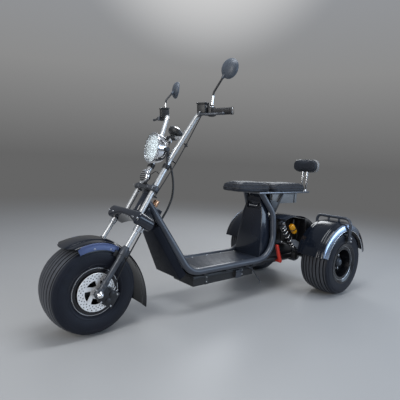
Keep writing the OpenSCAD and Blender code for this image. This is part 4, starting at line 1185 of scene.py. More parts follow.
    def caliper(self) -> None:
        """Two-piston caliper with its bracket, screws and hose."""
        shape = Shape().node("brake_caliper", 3.0)
        inner = self.leg_y - 15
        for z in (-12, 26):
            shape.rod(self.on_leg(-72, inner, z), self.on_leg(-72, inner + 12, z), 16, 3)
        shape.rod(self.on_leg(-46, inner - 5, 44), self.on_leg(-46, inner + 9, 44), 9, 2)
        shape.piece("brake_caliper_cast", Body.FORK, DARK_STEEL, ["brake_caliper"])
        bright = Shape()
        for x, z in ((-98, -26), (-98, 38), (-40, -30)):
            bright.screw(self.on_leg(x, inner + 5, z), LEFT, 5)
        bright.rod(self.on_leg(-70, inner + 1, 46), self.on_leg(-68, inner + 1, 66), 5.2)
        bright.rod(self.on_leg(-88, inner, 46), self.on_leg(-90, inner, 60), 3)
        bright.rod(self.at(-41, self.leg_y + 6, self.crown_low - 34),
                   self.at(-42, self.leg_y + 6, self.crown_low - 9), 5.4)
        bright.piece("brake_fittings", Body.FORK, STEEL)
        dress(GRIP, "brake_hose")
        rounded("mudguard_stays", "pressed", 2.0, Body.FORK, DARK_STEEL)

    def build(self) -> None:
        """Every piece of the fork."""
        self.legs()
        self.axle()
        self.lower_crown()
        self.upper_crown()
        self.caliper()


@dataclass
class Cockpit:
    """Handlebar with grips, switches, levers, mirrors, brake line and instrument."""

    knee: Vector = field(default_factory=lambda: Vector((-550, 150, 1143)))
    end: Vector = field(default_factory=lambda: Vector((-623, 326, 1149)))
    brace: Vector = field(default_factory=lambda: Vector((-481, 0, 1002)))
    perch: float = 46.0
    pod: float = 72.0
    grip: float = 88.0
    tube_r: float = 14.0
    grip_r: float = 17.6
    ribs: int = 15
    mirror_left: Vector = field(default_factory=lambda: Vector((-612, 296, 1368)))
    mirror_right: Vector = field(default_factory=lambda: Vector((-696, 291, 1334)))
    left_way: Vector = field(default_factory=lambda: Vector((1, 0.12, 0.1)))
    right_way: Vector = field(default_factory=lambda: Vector((1, 0.42, 0.1)))
    dial_tilt: float = 38.0
    riser_turn: Vector = field(default_factory=lambda: Vector((-419.7, 74, 876.9)))
    line_foot: Vector = field(default_factory=lambda: FORK @ Vector((-44, 84, 552)))
    line_clip: Vector = field(default_factory=lambda: FORK @ Vector((-40, 82, 560)))

    def station(self, along: float) -> Vector:
        """A point on the straight end of the left bar."""
        return self.knee + (self.end - self.knee).normalized() * along

    def seat(self, along: float) -> Matrix:
        """Frame on the left bar: x up, y forward, z out to the bar's end."""
        return aim(self.station(along), self.end - self.knee)

    def grips(self) -> None:
        """Ribbed rubber grips with bright end caps."""
        length = (self.end - self.knee).length - self.grip + 6
        outline = [(self.tube_r + 0.2, 0), (23, 0), (24, 1), (24, 4), (22, 5.5), (18.4, 6.5)]
        pitch = (length - 22) / self.ribs
        for i in range(self.ribs):
            start = 9 + i * pitch
            outline += [(self.grip_r, start), (self.grip_r + 0.9, start + 0.7),
                        (self.grip_r + 0.9, start + pitch - 1.6),
                        (self.grip_r, start + pitch - 0.9)]
        outline += [(19.4, length - 11), (20.2, length - 9), (20.2, length - 3), (19, length),
                    (self.tube_r + 0.2, length)]
        shape = Shape().lathe(outline, self.seat(self.grip), 36, closed=True)
        shape.mirrored().piece("grips_ribbed", Body.FORK, GRIP, ["grips"])
        caps = Shape()
        tip = self.seat(self.grip + length)
        caps.lathe([(0, 2.2), (10, 2.0), (15.5, 1.0), (17.2, -1), (17.2, -9), (0, -9)], tip, 30)
        caps.mirrored().piece("grip_caps", Body.FORK, CHROME)

    def switches(self) -> None:
        """Switch housings with buttons, and brake reservoirs with screwed lids on the perches."""
        shape = Shape()
        shape.block((52, 46, 30.5), self.seat(self.pod), 10, 4)
        seat = self.seat(self.perch - 16)
        shape.block((50, 50, 52), seat @ Matrix.Translation((16, 14, 0)), 5, 3)
        shape.block((8, 54, 56), seat @ Matrix.Translation((45, 14, 0)), 2.5, 2)
        shape.block((10, 44, 46), seat @ Matrix.Translation((-12, 12, 0)), 4, 2)
        shape.mirrored().piece("switch_pods_moulded", Body.FORK, PLASTIC, ["switch_pods"])
        keys = Shape()
        face = self.seat(self.pod)
        for height, deep in ((15, 9), (0, 12), (-15, 9)):
            keys.block((9, 6, deep), face @ Matrix.Translation((height, -23.5, 0)), 2, 2)
        keys.mirrored().piece("switch_keys", Body.FORK, GREY_CASE)
        lids = Shape()
        for y in (-7, 35):
            for z in (-22, 22):
                lids.screw(seat @ Vector((48.8, y, z)), seat.to_3x3() @ FORWARD, 2.6)
        lids.mirrored().piece("reservoir_screws", Body.FORK, STEEL)

    def levers(self) -> None:
        """Brake levers with a bent blade and a ball end, each in a split perch."""
        way = (self.end - self.knee).normalized()
        middle = self.station(self.perch)
        pivot = middle + Vector((52, 0, -20))
        shape = Shape()
        clamp = [(self.tube_r + 0.1, -9.6), (19.4, -9.6), (20, -9), (20, 9), (19.4, 9.6),
                 (self.tube_r + 0.1, 9.6)]
        shape.lathe(clamp, self.seat(self.perch), 32, closed=True)
        shape.rod(middle + Vector((16, 0, -6)), pivot, 8.5, 2).rod(pivot - UP * 11, pivot + UP * 11, 11, 2.5)
        blade = ((-8, 0), (14, 5), (40, 7), (74, 3), (108, -2), (132, 2), (140, 5))
        path = [pivot + way * along + FORWARD * ahead for along, ahead in blade]
        shape.pipe(bent(path, [30] * 5, 4), 6.4, 14)
        shape.bead(path[-1], 8.4)
        shape.mirrored().piece("brake_levers_bent", Body.FORK, DARK_ALLOY, ["brake_levers"])
        pins = Shape().bolt(pivot + UP * 10.6, UP, 9).bolt(middle + Vector((22, 0, 8)), Vector((1, 0, 0.2)), 7)
        pins.mirrored().piece("lever_pins", Body.FORK, STEEL)

    def mirrors(self) -> None:
        """Mirror shells, glasses, stems and their foot nuts; each mirror is set at its own angle."""
        shells, glasses, nuts = Shape(), Shape(), Shape()
        back = [(0, 17), (14, 16.4), (27, 14.2), (38, 10), (46, 4.4), (51.5, -2.5), (54, -9), (53.6, -13.5),
                (51.4, -16.6), (47, -17), (43.4, -15.4), (41.4, -12), (0, -12)]
        front = [(0, -15.6), (22, -15.2), (41, -13.8), (41, -11.5), (0, -11.5)]
        foot = self.station(self.pod) + UP * 25.3
        for head, turned in ((self.mirror_right, self.right_way), (self.mirror_left, self.left_way)):
            seat = aim(head, turned)
            shells.lathe(back, seat, 56)
            glasses.lathe(front, seat, 56)
            nuts.bolt(foot, UP, 17, 12)
            nuts.rod(foot + Vector((-0.6, 1, 12)), foot + Vector((-3, 4.6, 60)), 6.0, 1.5)
            way = (foot + Vector((-4, 6, 76)) - head).normalized()
            shells.rod(head + way * 12, head + way * 62, 8.0, 3)
            if head is self.mirror_right:
                for shape in (shells, glasses, nuts):
                    shape.flipped()
        shells.piece("mirror_shells_moulded", Body.FORK, SHELL, ["mirror_shells"])
        glasses.piece("mirror_glasses_curved", Body.FORK, MIRROR, ["mirror_glasses"])
        nuts.piece("mirror_nuts", Body.FORK, CHROME)
        dress(DARK_STEEL, "mirror_stems")

    def brake_line(self) -> None:
        """Line from the left lever down the back of its riser, held by clips."""
        turn = self.riser_turn
        up = (self.knee - turn).normalized()
        behind = Vector((-0.86, 0, -0.5))
        mid = turn + behind * 36 + LEFT * 12
        high = turn + up * 118 + behind * 32 + LEFT * 8
        line, clips = Shape(), Shape()
        line.pipe(bent([self.line_foot, mid, high, self.station(26) + Vector((14, 0, -16))], [120, 160]), 3.0,
                  10)
        line.rod(high - up * 12, high + up * 10, 5.4).rod(high - behind * 14, high + behind * 12, 4.6)
        line.piece("brake_line", Body.FORK, GRIP)
        for spot in (self.line_clip, turn + behind * 18 + LEFT * 4 + up * 6):
            clips.rod(spot - behind * 14, spot + behind * 20, 4.2)
        clips.piece("brake_line_clips", Body.FORK, DARK_STEEL)

    def instrument(self) -> None:
        """Round instrument on the brace, its dial turned up to the rider."""
        seat = Matrix.Translation(self.brace) @ Matrix.Rotation(-math.radians(self.dial_tilt), 4, "Y")
        bowl = [(0, 10), (15, 10), (17, 12), (17, 19), (30, 21), (41, 27), (45.4, 35), (46, 46), (44.6, 50),
                (41.5, 50.4), (40.5, 46.5), (0, 46.5)]
        shape = Shape().lathe(bowl, seat, 48)
        clasp = [(9.4, -13), (13.5, -13), (14.4, -12), (14.4, 12), (13.5, 13), (9.4, 13)]
        for side in (-24, 24):
            shape.lathe(clasp, aim(self.brace + LEFT * side, LEFT), 28, closed=True)
        shape.rod(self.brace - LEFT * 36, self.brace + LEFT * 36, 13, 2)
        shape.piece("instrument_bowl", Body.FORK, PLASTIC, ["instrument"])
        marks = Shape()
        for i in range(25):
            turn = math.radians(-30 + 240 * i / 24)
            size = (7.0 if i % 4 == 0 else 4.0, 1.4, 0.8)
            spot = seat @ Matrix.Rotation(turn, 4, "Z") @ Matrix.Translation((33, 0, 46.8))
            marks.block(size, spot, 0.2, 1)
        marks.piece("instrument_marks", Body.FORK, CHROME)
        pointer = seat @ Matrix.Rotation(3.6, 4, "Z") @ Matrix.Translation((12, 0, 48))
        needle = Shape().block((30, 1.8, 1.0), pointer, 0.3, 1)
        needle.lathe([(0, 50), (4, 49.4), (5, 46.6), (0, 46.6)], seat, 20)
        needle.piece("instrument_needle", Body.FORK, RED_SLEEVE)
        ring = [(42.5, 49), (46.6, 47), (47.6, 49), (46.6, 51.6), (43, 52)]
        Shape().lathe(ring, seat, 56, closed=True).piece("instrument_ring", Body.FORK, CHROME)

    def build(self) -> None:
        """Every piece at the handlebar."""
        dress(BRUSHED, "handlebar")
        self.grips()
        self.switches()
        self.levers()
        self.mirrors()
        self.brake_line()
        self.instrument()


@dataclass
class FrontLamps:
    """Headlight with its cells, bracket and horn."""

    centre: Vector = field(default_factory=lambda: Vector((-345, 0, 941)))
    tilt: float = 82.0
    turn: float = 6.0
    dome: float = 190.0
    cell: float = 15.4
    cells_r: float = 69.0
    horn_centre: Vector = field(default_factory=lambda: FORK @ Vector((24, 0, 640)))
    horn_tilt: float = 78.0

    def headlight(self) -> None:
        """Chrome bowl and ring, rows of cells and a domed glass."""
        seat = (Matrix.Translation(self.centre) @ Matrix.Rotation(-math.radians(self.turn), 4, "Z")
                @ Matrix.Rotation(math.radians(self.tilt), 4, "Y"))
        bowl = [(0, -92), (26, -92), (36, -89.5), (50, -83), (63, -72), (73, -58), (79, -42), (82, -26),
                (82.4, -12), (84.6, -9.5), (86, -5), (85, -0.5), (81.5, 1.4), (78, 0), (76.8, -4),
                (76.4, -22), (0, -24)]
        Shape().lathe(bowl, seat, 72).piece("headlight_bowl", Body.FORK, CHROME, ["headlight_shell"])
        cups, beads = Shape(), Shape()
        rows = int(self.cells_r / (self.cell * 0.866))
        for row in range(-rows, rows + 1):
            for column in range(-rows - 1, rows + 2):
                x, y = row * self.cell * 0.866, (column + 0.5 * (row % 2)) * self.cell
                if math.hypot(x, y) > self.cells_r:
                    continue
                spot = seat @ Matrix.Translation((x, y, -24))
                cups.lathe([(2.4, 3), (7.0, 15), (7.5, 15), (7.5, 0), (2.4, 0)], spot, 6, closed=True)
                beads.lathe([(0, 7), (2.6, 5.8), (3.4, 2), (3.4, 0), (0, 0)], spot, 8)
        # The cells' finish carries a faint painted glow
        cups.piece("headlight_cells", Body.FORK, CELL, sharp=50.0)
        beads.piece("headlight_beads", Body.FORK, CLEAR)
        stops = (0, 16, 32, 48, 62, 76.2)
        front = [(r, 12 - self.dome + math.sqrt(self.dome ** 2 - r * r)) for r in stops]
        back = [(r, h - 3) for r, h in reversed(front)]
        Shape().lathe(front + back, seat, 64).piece("headlight_glass", Body.FORK, CLEAR, ["headlight_lens"])
        rounded("lamp_bracket", "forged", 1.5, Body.FORK, DARK_STEEL)

    def horn(self) -> None:
        """Slotted chrome horn on its foot."""
        seat = Matrix.Translation(self.horn_centre) @ Matrix.Rotation(math.radians(self.horn_tilt), 4, "Y")
        cover = [(0, 12), (18, 11.4), (30, 9.4), (35.5, 6), (38, 2), (38, -7), (36.4, -9.8), (0, -9.8)]
        shape, tool = Shape().lathe(cover, seat, 56), Shape()
        slots = ((-21, 34), (-10.5, 48), (0, 54), (10.5, 48), (21, 34))
        for x, reach in slots:
            tool.block((5, reach, 12), seat @ Matrix.Translation((x, 0, 12)), 1.2, 2)
        shape.cut(tool)
        shape.piece("horn_cover", Body.FORK, CHROME, ["horn"])
        back = Shape()
        for x, reach in slots:
            back.block((4.6, reach - 1, 5), seat @ Matrix.Translation((x, 0, 5.6)), 0.6, 1)
        back.lathe([(0, -9), (33, -9), (35, -11), (35, -14), (24, -19), (20, -21), (20, -28), (0, -28)], seat,
                   40)
        back.rod(FORK @ Vector((-4, 0, 604.3)), FORK @ Vector((-4, 0, 644)), 6)
        back.block((14, 40, 6), FORK @ Matrix.Translation((-4, 0, 607.6)), 1.5, 2)
        back.piece("horn_back", Body.FORK, DARK_STEEL)

    def wires(self) -> None:
        """Two thin leads between the horn, the lamp and the stem."""
        shape = Shape()
        start = self.horn_centre + Vector((-26, 8, 4))
        lead = [start, start + Vector((-40, 6, 26)), start + Vector((-66, 10, 0))]
        shape.pipe(bent([*lead, FORK @ Vector((-60, 16, 606))], [14, 14]), 2.2, 8)
        lamp = self.centre + Vector((-88, 10, -14))
        lead = [lamp, lamp + Vector((-30, 12, -12)), lamp + Vector((-26, 18, -80))]
        shape.pipe(bent([*lead, FORK @ Vector((-30, 20, 604))], [16, 20]), 2.6, 8)
        shape.piece("lamp_leads", Body.FORK, GRIP)

    def build(self) -> None:
        """Headlight, horn and leads."""
        self.headlight()
        self.horn()
        self.wires()


@dataclass
class Mudguard:
    """A pressed mudguard: raised band along its middle, shoulders and turned-down skirts."""

    centre: Vector
    section: Sequence[tuple[float, float]]
    start: float
    end: float
    flare: Sequence[tuple[float, float]]
    skirt_from: float
    skirt: Sequence[tuple[float, float]] = ((0.0, 1.0), (360.0, 1.0))
    slant: float = 0.0
    thick: float = 3.0
    steps: int = 84

    @staticmethod
    def between(table: Sequence[tuple[float, float]], at: float) -> float:
        """A value read from a table of (angle, value)."""
        for (a, low), (b, high) in zip(table, table[1:]):
            if at <= b:
                share = max(0.0, min(1.0, (at - a) / (b - a)))
                return low + (high - low) * share
        return table[-1][1]

    def sheet(self) -> Shape:
        """The bent sheet with its thickness, its middle plane across the centre."""
        part = bmesh.new()
        full = [(-y, r) for y, r in reversed(self.section[1:])] + list(self.section)
        first = math.radians(self.start)
        verts = [part.verts.new((r * math.cos(first), y, r * math.sin(first))) for y, r in full]
        edges = [part.edges.new(pair) for pair in zip(verts, verts[1:])]
        bmesh.ops.spin(part, geom=verts + edges, cent=(0, 0, 0), axis=(0, -1, 0),
                       angle=math.radians(self.end - self.start), steps=self.steps)
        half = self.section[-1][0]
        for vert in part.verts:
            angle = math.degrees(math.atan2(vert.co.z, vert.co.x)) % 360
            reach = math.hypot(vert.co.x, vert.co.z)
            if reach < self.skirt_from:
                reach = self.skirt_from - (self.skirt_from - reach) * self.between(self.skirt, angle)
            reach += self.between(self.flare, angle)
            near = max(0.0, 1 - (angle - self.start) / 30)
            angle = math.radians(angle + self.slant * (abs(vert.co.y) / half) ** 2 * near)
            vert.co.x, vert.co.z = reach * math.cos(angle), reach * math.sin(angle)
        bmesh.ops.recalc_face_normals(part, faces=part.faces)
        bmesh.ops.solidify(part, geom=part.faces[:], thickness=self.thick)
        return Shape().join(part, Matrix.Translation(self.centre))


@dataclass
class Mudguards:
    """The steered mudguard and the two over the rear wheels, with their bolts and bright beads."""

    front_section: Sequence[tuple[float, float]] = (
        (0, 255), (22, 254.7), (42, 253.6), (50, 252.4), (54, 250), (57, 247.4), (62, 246.4), (76, 245.6),
        (88, 244), (97, 240.6), (102.4, 235), (105.6, 227.4), (108, 217), (109.6, 208), (110.5, 203.6),
        (109.4, 202))
    rear_section: Sequence[tuple[float, float]] = (
        (0, 290), (30, 289.6), (54, 288.6), (63, 287.2), (67, 284.8), (70, 282.4), (75, 281), (88, 279.6),
        (98, 277), (104.5, 272.5), (108.5, 265), (111.5, 254), (114, 243), (115.6, 235), (115, 232.4))

    @staticmethod
    def band(middle: Vector, points: Outline, start: float, end: float) -> Shape:
        """A polished strip round a skirt.

        Args:
            middle: Centre of the wheel.
            points: Distance across from the wheel's middle plane and radius, along the strip's section.
            start: First angle in degrees.
            end: Last angle in degrees.

        Returns:
            The strip on the left skirt.
        """
        part = bmesh.new()
        turn = math.radians(start)
        verts = [part.verts.new((r * math.cos(turn), y, r * math.sin(turn))) for y, r in points]
        edges = [part.edges.new(pair) for pair in zip(verts, verts[1:])]
        bmesh.ops.spin(part, geom=verts + edges, cent=(0, 0, 0), axis=(0, -1, 0),
                       angle=math.radians(end - start), steps=64)
        bmesh.ops.recalc_face_normals(part, faces=part.faces)
        if part.faces[0].normal.y < 0:
            bmesh.ops.reverse_faces(part, faces=part.faces)
        bmesh.ops.solidify(part, geom=part.faces[:], thickness=1.6)
        return Shape().join(part, Matrix.Translation(middle))

    def front(self) -> None:
        """Front mudguard, flared at its tail and with skirts only ahead of the fork legs."""
        tail = [(math.cos(math.radians(a)), math.sin(math.radians(a))) for a in range(134, 187, 4)]
        spots = [(400 * x + 100.7, 400 * z - 104.3) for x, z in tail]
        opened = [(math.degrees(math.atan2(z, x)) % 360, math.hypot(x, z) - 255) for x, z in spots]
        guard = Mudguard(Vector((0, 0, TYRE_R)), self.front_section, 56, 205, skirt_from=244,
                         flare=[(56, 7), (62, 4), (70, 1.5), (80, 0), *opened],
                         skirt=((0, 1.0), (122, 1.0), (130, 0.2), (360, 0.2)), slant=10)
        guard.sheet().piece("front_mudguard_pressed", Body.FORK, GUARD, ["front_mudguard"])
        bolts = Shape()
        for angle in (86, 108):
            turn = math.radians(angle)
            bolts.screw(Vector((216 * math.cos(turn), 108, TYRE_R + 216 * math.sin(turn))), LEFT, 4.5)
        bolts.mirrored().piece("front_mudguard_screws", Body.FORK, STEEL)
        # The strips' flat blue is a painted reflection of the sky on the skirts
        strip = ((99.6, 241.4), (104.6, 236), (107.8, 228.2), (110.2, 217.6), (111.6, 209.4))
        shape = self.band(Vector((0, 0, TYRE_R)), strip, 66, 119).mirrored()
        shape.piece("front_mudguard_painted_reflection", Body.FORK, PAINTED_REFLECTION_BLUE)

    def rear(self) -> None:
        """Rear mudguards with a bead along the foot of each outer skirt."""
        shape, beads = Shape(), Shape()
        for side in (1, -1):
            middle = Vector((REAR_X, side * REAR_Y, TYRE_R))
            guard = Mudguard(middle, self.rear_section, 14, 166, skirt_from=300,
                             flare=((14, 2), (40, 0), (140, 0), (166, 3)))
            shape.join(guard.sheet().bm, Matrix())
            line = arc((REAR_X, TYRE_R), 233.0, 15, 165, 60)
            beads.pipe([Vector((x, side * (REAR_Y + 115.0), z)) for x, z in line], 2.6, 10)
        strip = ((100.4, 277.6), (106.8, 273), (110.4, 265.4), (113.4, 254.4), (116, 243.4), (117.2, 237))
        bands = self.band(Vector((REAR_X, REAR_Y, TYRE_R)), strip, 15, 128).mirrored()
        bands.piece("rear_mudguard_bands", Body.FRAME, BAND)
        shape.piece("rear_mudguards_pressed", Body.FRAME, GUARD, ["rear_mudguards"])
        beads.piece("rear_mudguard_beads", Body.FRAME, STEEL)

    def build(self) -> None:
        """All three mudguards."""
        self.front()
        self.rear()


@dataclass
class Chassis:
    """Head, rails, fairings, floor and battery."""

    head_low: float = 450.0
    head_top: float = 572.0
    floor_top: float = 254.0
    floor_front: float = -614.0
    floor_rear: float = -1158.0
    floor_half: float = 120.5
    battery: tuple[float, float] = (-1120.0, -608.0)
    battery_top: float = 203.0
    battery_half: float = 98.5

    def head(self) -> None:
        """Head tube with bearing cups, and the lock on the neck."""
        shape = Shape().node("head_tube", 3.0)
        for low, high in ((self.head_low - 3, self.head_low + 11), (self.head_top - 11, self.head_top + 3)):
            ring = [(17, low), (31.5, low), (33.5, low + 2), (33.5, high - 2), (31.5, high), (17, high)]
            shape.lathe(ring, FORK @ Matrix.Translation((-STEER_BACK, 0, 0)), 44, True)
        shape.piece("head_tube_welded", Body.FRAME, GLOSS, ["head_tube"])
        rounded("ignition_lock", "barrel", 2.0, Body.FRAME, BRASS)
        slot = Shape().block((3, 14, 3), FORK @ Matrix.Translation((-122, 0, 566)), 0.6, 1)
        slot.piece("ignition_slot", Body.FRAME, PLASTIC)

    def panels(self) -> None:
        """Rails, fairing, leg shield and floor."""
        dress(SATIN, "rail_left", "rail_right")
        rounded("front_fairing", "moulded", 6.0, Body.FRAME, SHADE)
        rounded("leg_shield", "moulded", 4.0, Body.FRAME, GLOSS)
        rounded("floor_panel", "matted", 2.0, Body.FRAME, MAT)
        rivets, ribs = Shape(), Shape()
        for y in (self.floor_half - 12, -self.floor_half + 12):
            for share in (0.04, 0.27, 0.5, 0.73, 0.96):
                x = self.floor_front + (self.floor_rear - self.floor_front) * share
                rivets.bead(Vector((x, y, self.floor_top)), 5.5, (1, 1, 0.5))
        for i in range(9):
            y = (i - 4) * 22.0
            spot = Matrix.Translation(((self.floor_front + self.floor_rear) / 2, y, self.floor_top + 0.8))
            ribs.block((self.floor_front - self.floor_rear - 70, 9, 3), spot, 1.2, 2)
        rivets.piece("floor_rivets", Body.FRAME, STEEL)
        ribs.piece("floor_ribs", Body.FRAME, MAT)

    def underside(self) -> None:
        """Frame under the floor, battery with lid and straps, and the foot bracket with its wire stand."""
        rounded("floor_frame", "welded", 2.5, Body.FRAME, DARK_STEEL)
        rear, front = self.battery
        middle, length = (rear + front) / 2, front - rear
        case = Shape().node("battery_box", 6.0)
        case.block((length - 8, 2 * self.battery_half + 3, 5),
                   Matrix.Translation((middle, 0, self.battery_top - 15)), 1.5, 2)
        for share in (-0.3, 0.3):
            case.block((26, 2 * self.battery_half + 2.4, 64.4),
                       Matrix.Translation((middle + share * length, 0, 172)), 1.2, 2)
        case.piece("battery_box_lidded", Body.FRAME, PLASTIC, ["battery_box"])
        screws = Shape()
        for share in (-0.3, 0.3):
            for z in (158, 186):
                screws.screw(Vector((middle + share * length, self.battery_half + 1, z)), LEFT, 4.5)
        screws.mirrored().piece("battery_screws", Body.FRAME, STEEL)
        foot = Shape().block((52, 4, 50), Matrix.Translation((-964, 122, 172)), 1.5, 2)
        foot.screw(Vector((-976, 124, 186)), LEFT, 5).screw(Vector((-952, 124, 186)), LEFT, 5)
        foot.piece("battery_bracket", Body.FRAME, DARK_ALLOY)
        stand = Shape()
        spots = ((-1044, 112, 208), (-1090, 116, 190), (-1160, 120, 110), (-1184, 121, 82), (-1168, 121, 74))
        stand.pipe(bent([Vector(spot) for spot in spots], [30, 60, 10]), 3.0, 10)
        stand.piece("wire_stand", Body.FRAME, DARK_ALLOY)

    def build(self) -> None:
        """Every piece of the chassis."""
        self.head()
        self.panels()
        self.underside()


@dataclass
class Cushion:
    """A stuffed seat or pad, swollen from a shrunken copy of its CAD form and trimmed with piping."""

    node: str
    name: str
    rest: Vector
    piping: Sequence[tuple[Vector, Vector]] = ()
    seams: Sequence[tuple[Vector, Vector]] = ()
    shrink: float = 5.0
    voxel: float = 5.0
    pressure: float = 4.0
    cap: float = 9.0
    fill: float = 0.75
    rounding: int = 34
    ends: float = 0.0
    end_fall: float = 0.8
    frames: int = 20
    seam_depth: float = 4.0
    seam_half: float = 7.0
    bead_r: float = 2.6

    def start(self) -> bpy.types.Object:
        """The shrunken, evenly meshed copy, still flat where it rests."""
        part = bmesh.new()
        part.from_mesh(frame["nodes"][self.node].data)
        bmesh.ops.remove_doubles(part, verts=part.verts, dist=0.00002)
        low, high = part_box(self.node)
        middle, size = (low + high) / 2, high - low
        scale = [(s - 2 * self.shrink * MM) / s for s in size]
        for vert in part.verts:
            vert.co = Vector([m + (c - m) * s for c, m, s in zip(vert.co, middle, scale)])
        bmesh.ops.translate(part, vec=self.rest * self.shrink * MM, verts=part.verts)
        mesh = bpy.data.meshes.new(self.name)
        part.to_mesh(mesh)
        part.free()
        made = bpy.data.objects.new(self.name, mesh)
        bpy.context.scene.collection.objects.link(made)
        even = made.modifiers.new("even", "REMESH")
        even.mode = "VOXEL"
        even.voxel_size = self.voxel * MM
        soft = made.modifiers.new("soft", "SMOOTH")
        soft.factor = 0.5
        soft.iterations = self.rounding
        self.bake(made)
        straight = size.y / 2 - self.ends * MM
        for vert in made.data.vertices:
            past = abs(vert.co.y) - straight
            if past > 0 and self.ends:
                share = min(1.0, past / self.ends / MM)
                vert.co.z = middle.z + (vert.co.z - middle.z) * math.sqrt(1 - self.end_fall * share ** 2)
        return made

    def bake(self, made: bpy.types.Object) -> None:
        """Turns the modifiers' result into the object's own mesh."""
        bpy.context.view_layer.update()
        mesh = bpy.data.meshes.new_from_object(made.evaluated_get(bpy.context.evaluated_depsgraph_get()))
        old = made.data
        made.modifiers.clear()
        made.data = mesh
        bpy.data.meshes.remove(old)

    def swell(self, made: bpy.types.Object) -> None:
        """Blows the cover up by cloth simulation, held at the face it rests on and capped in its travel."""
        before = [vert.co.copy() for vert in made.data.vertices]
        edge = max(spot.dot(self.rest) for spot in before)
        held = made.vertex_groups.new(name="held")
        held.add([i for i, spot in enumerate(before) if spot.dot(self.rest) > edge - 0.004], 1.0, "REPLACE")
        cloth = made.modifiers.new("swell", "CLOTH")
        cloth.settings.use_pressure = True
        cloth.settings.uniform_pressure_force = self.pressure
        cloth.settings.vertex_group_mass = "held"
        cloth.settings.effector_weights.gravity = 0.0
        scene = bpy.context.scene
        for step in range(1, self.frames + 1):
            scene.frame_set(step)
        self.bake(made)
        scene.frame_set(1)
        for vert, spot in zip(made.data.vertices, before):
            move = vert.co - spot
            if move.length > self.cap * MM:
                vert.co = spot + move.normalized() * self.cap * MM

    def sew(self, made: bpy.types.Object) -> None:
        """Presses the seams in, each lying in a plane given by a point and its normal."""
        for vert in made.data.vertices:
            for point, way in self.seams:
                off = abs((vert.co - TO_FRAME @ point).dot(way.normalized())) / (self.seam_half * MM)
                if off < 1 and vert.normal.dot(self.rest) < 0.5:
                    vert.co -= vert.normal * self.seam_depth * MM * (1 - off * off) ** 2

    def ring(self, made: bpy.types.Object, point: Vector, way: Vector) -> list[Vector]:
        """The cover's outline in a plane, in order, in millimetres."""
        part = bmesh.new()
        part.from_mesh(made.data)
        bmesh.ops.transform(part, matrix=TO_FRAME.inverted(), verts=part.verts)
        geom = part.verts[:] + part.edges[:] + part.faces[:]
        cut = bmesh.ops.bisect_plane(part, geom=geom, plane_co=point, plane_no=way)["geom_cut"]
        edges = {e for e in cut if isinstance(e, bmesh.types.BMEdge)}
        first = next(iter(sorted(edges, key=lambda e: e.index)))
        at, path = first.verts[0], []
        while edges:
            step = next((e for e in at.link_edges if e in edges), None)
            if step is None:
                break
            edges.remove(step)
            at = step.other_vert(at)
            path.append(at.co.copy())
        part.free()
        return [(a + b * 2 + c) / 4 for a, b, c in zip(path[-1:] + path, path, path[1:] + path[:1])]

    def build(self) -> bpy.types.Object:
        """The cushion with its seams and piping."""
        made = self.start()
        self.swell(made)
        self.sew(made)
        rings = [self.ring(made, point, way) for point, way in self.piping]
        made.data.shade_smooth()
        made.data.materials.clear()
        made.data.materials.append(LEATHER.material())
        rounding = made.modifiers.new("rounding", "SUBSURF")
        rounding.levels = rounding.render_levels = 1
        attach(made, Body.FRAME.value)
        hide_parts(self.node)
        cords = Shape()
        for path in rings:
            cords.pipe(path[::2], self.bead_r, 10, cyclic=True)
        if rings:
            cords.piece(self.name + "_piping", Body.FRAME, GRIP)
        log.info("%s, %d faces", self.name, len(made.data.polygons))
        return made


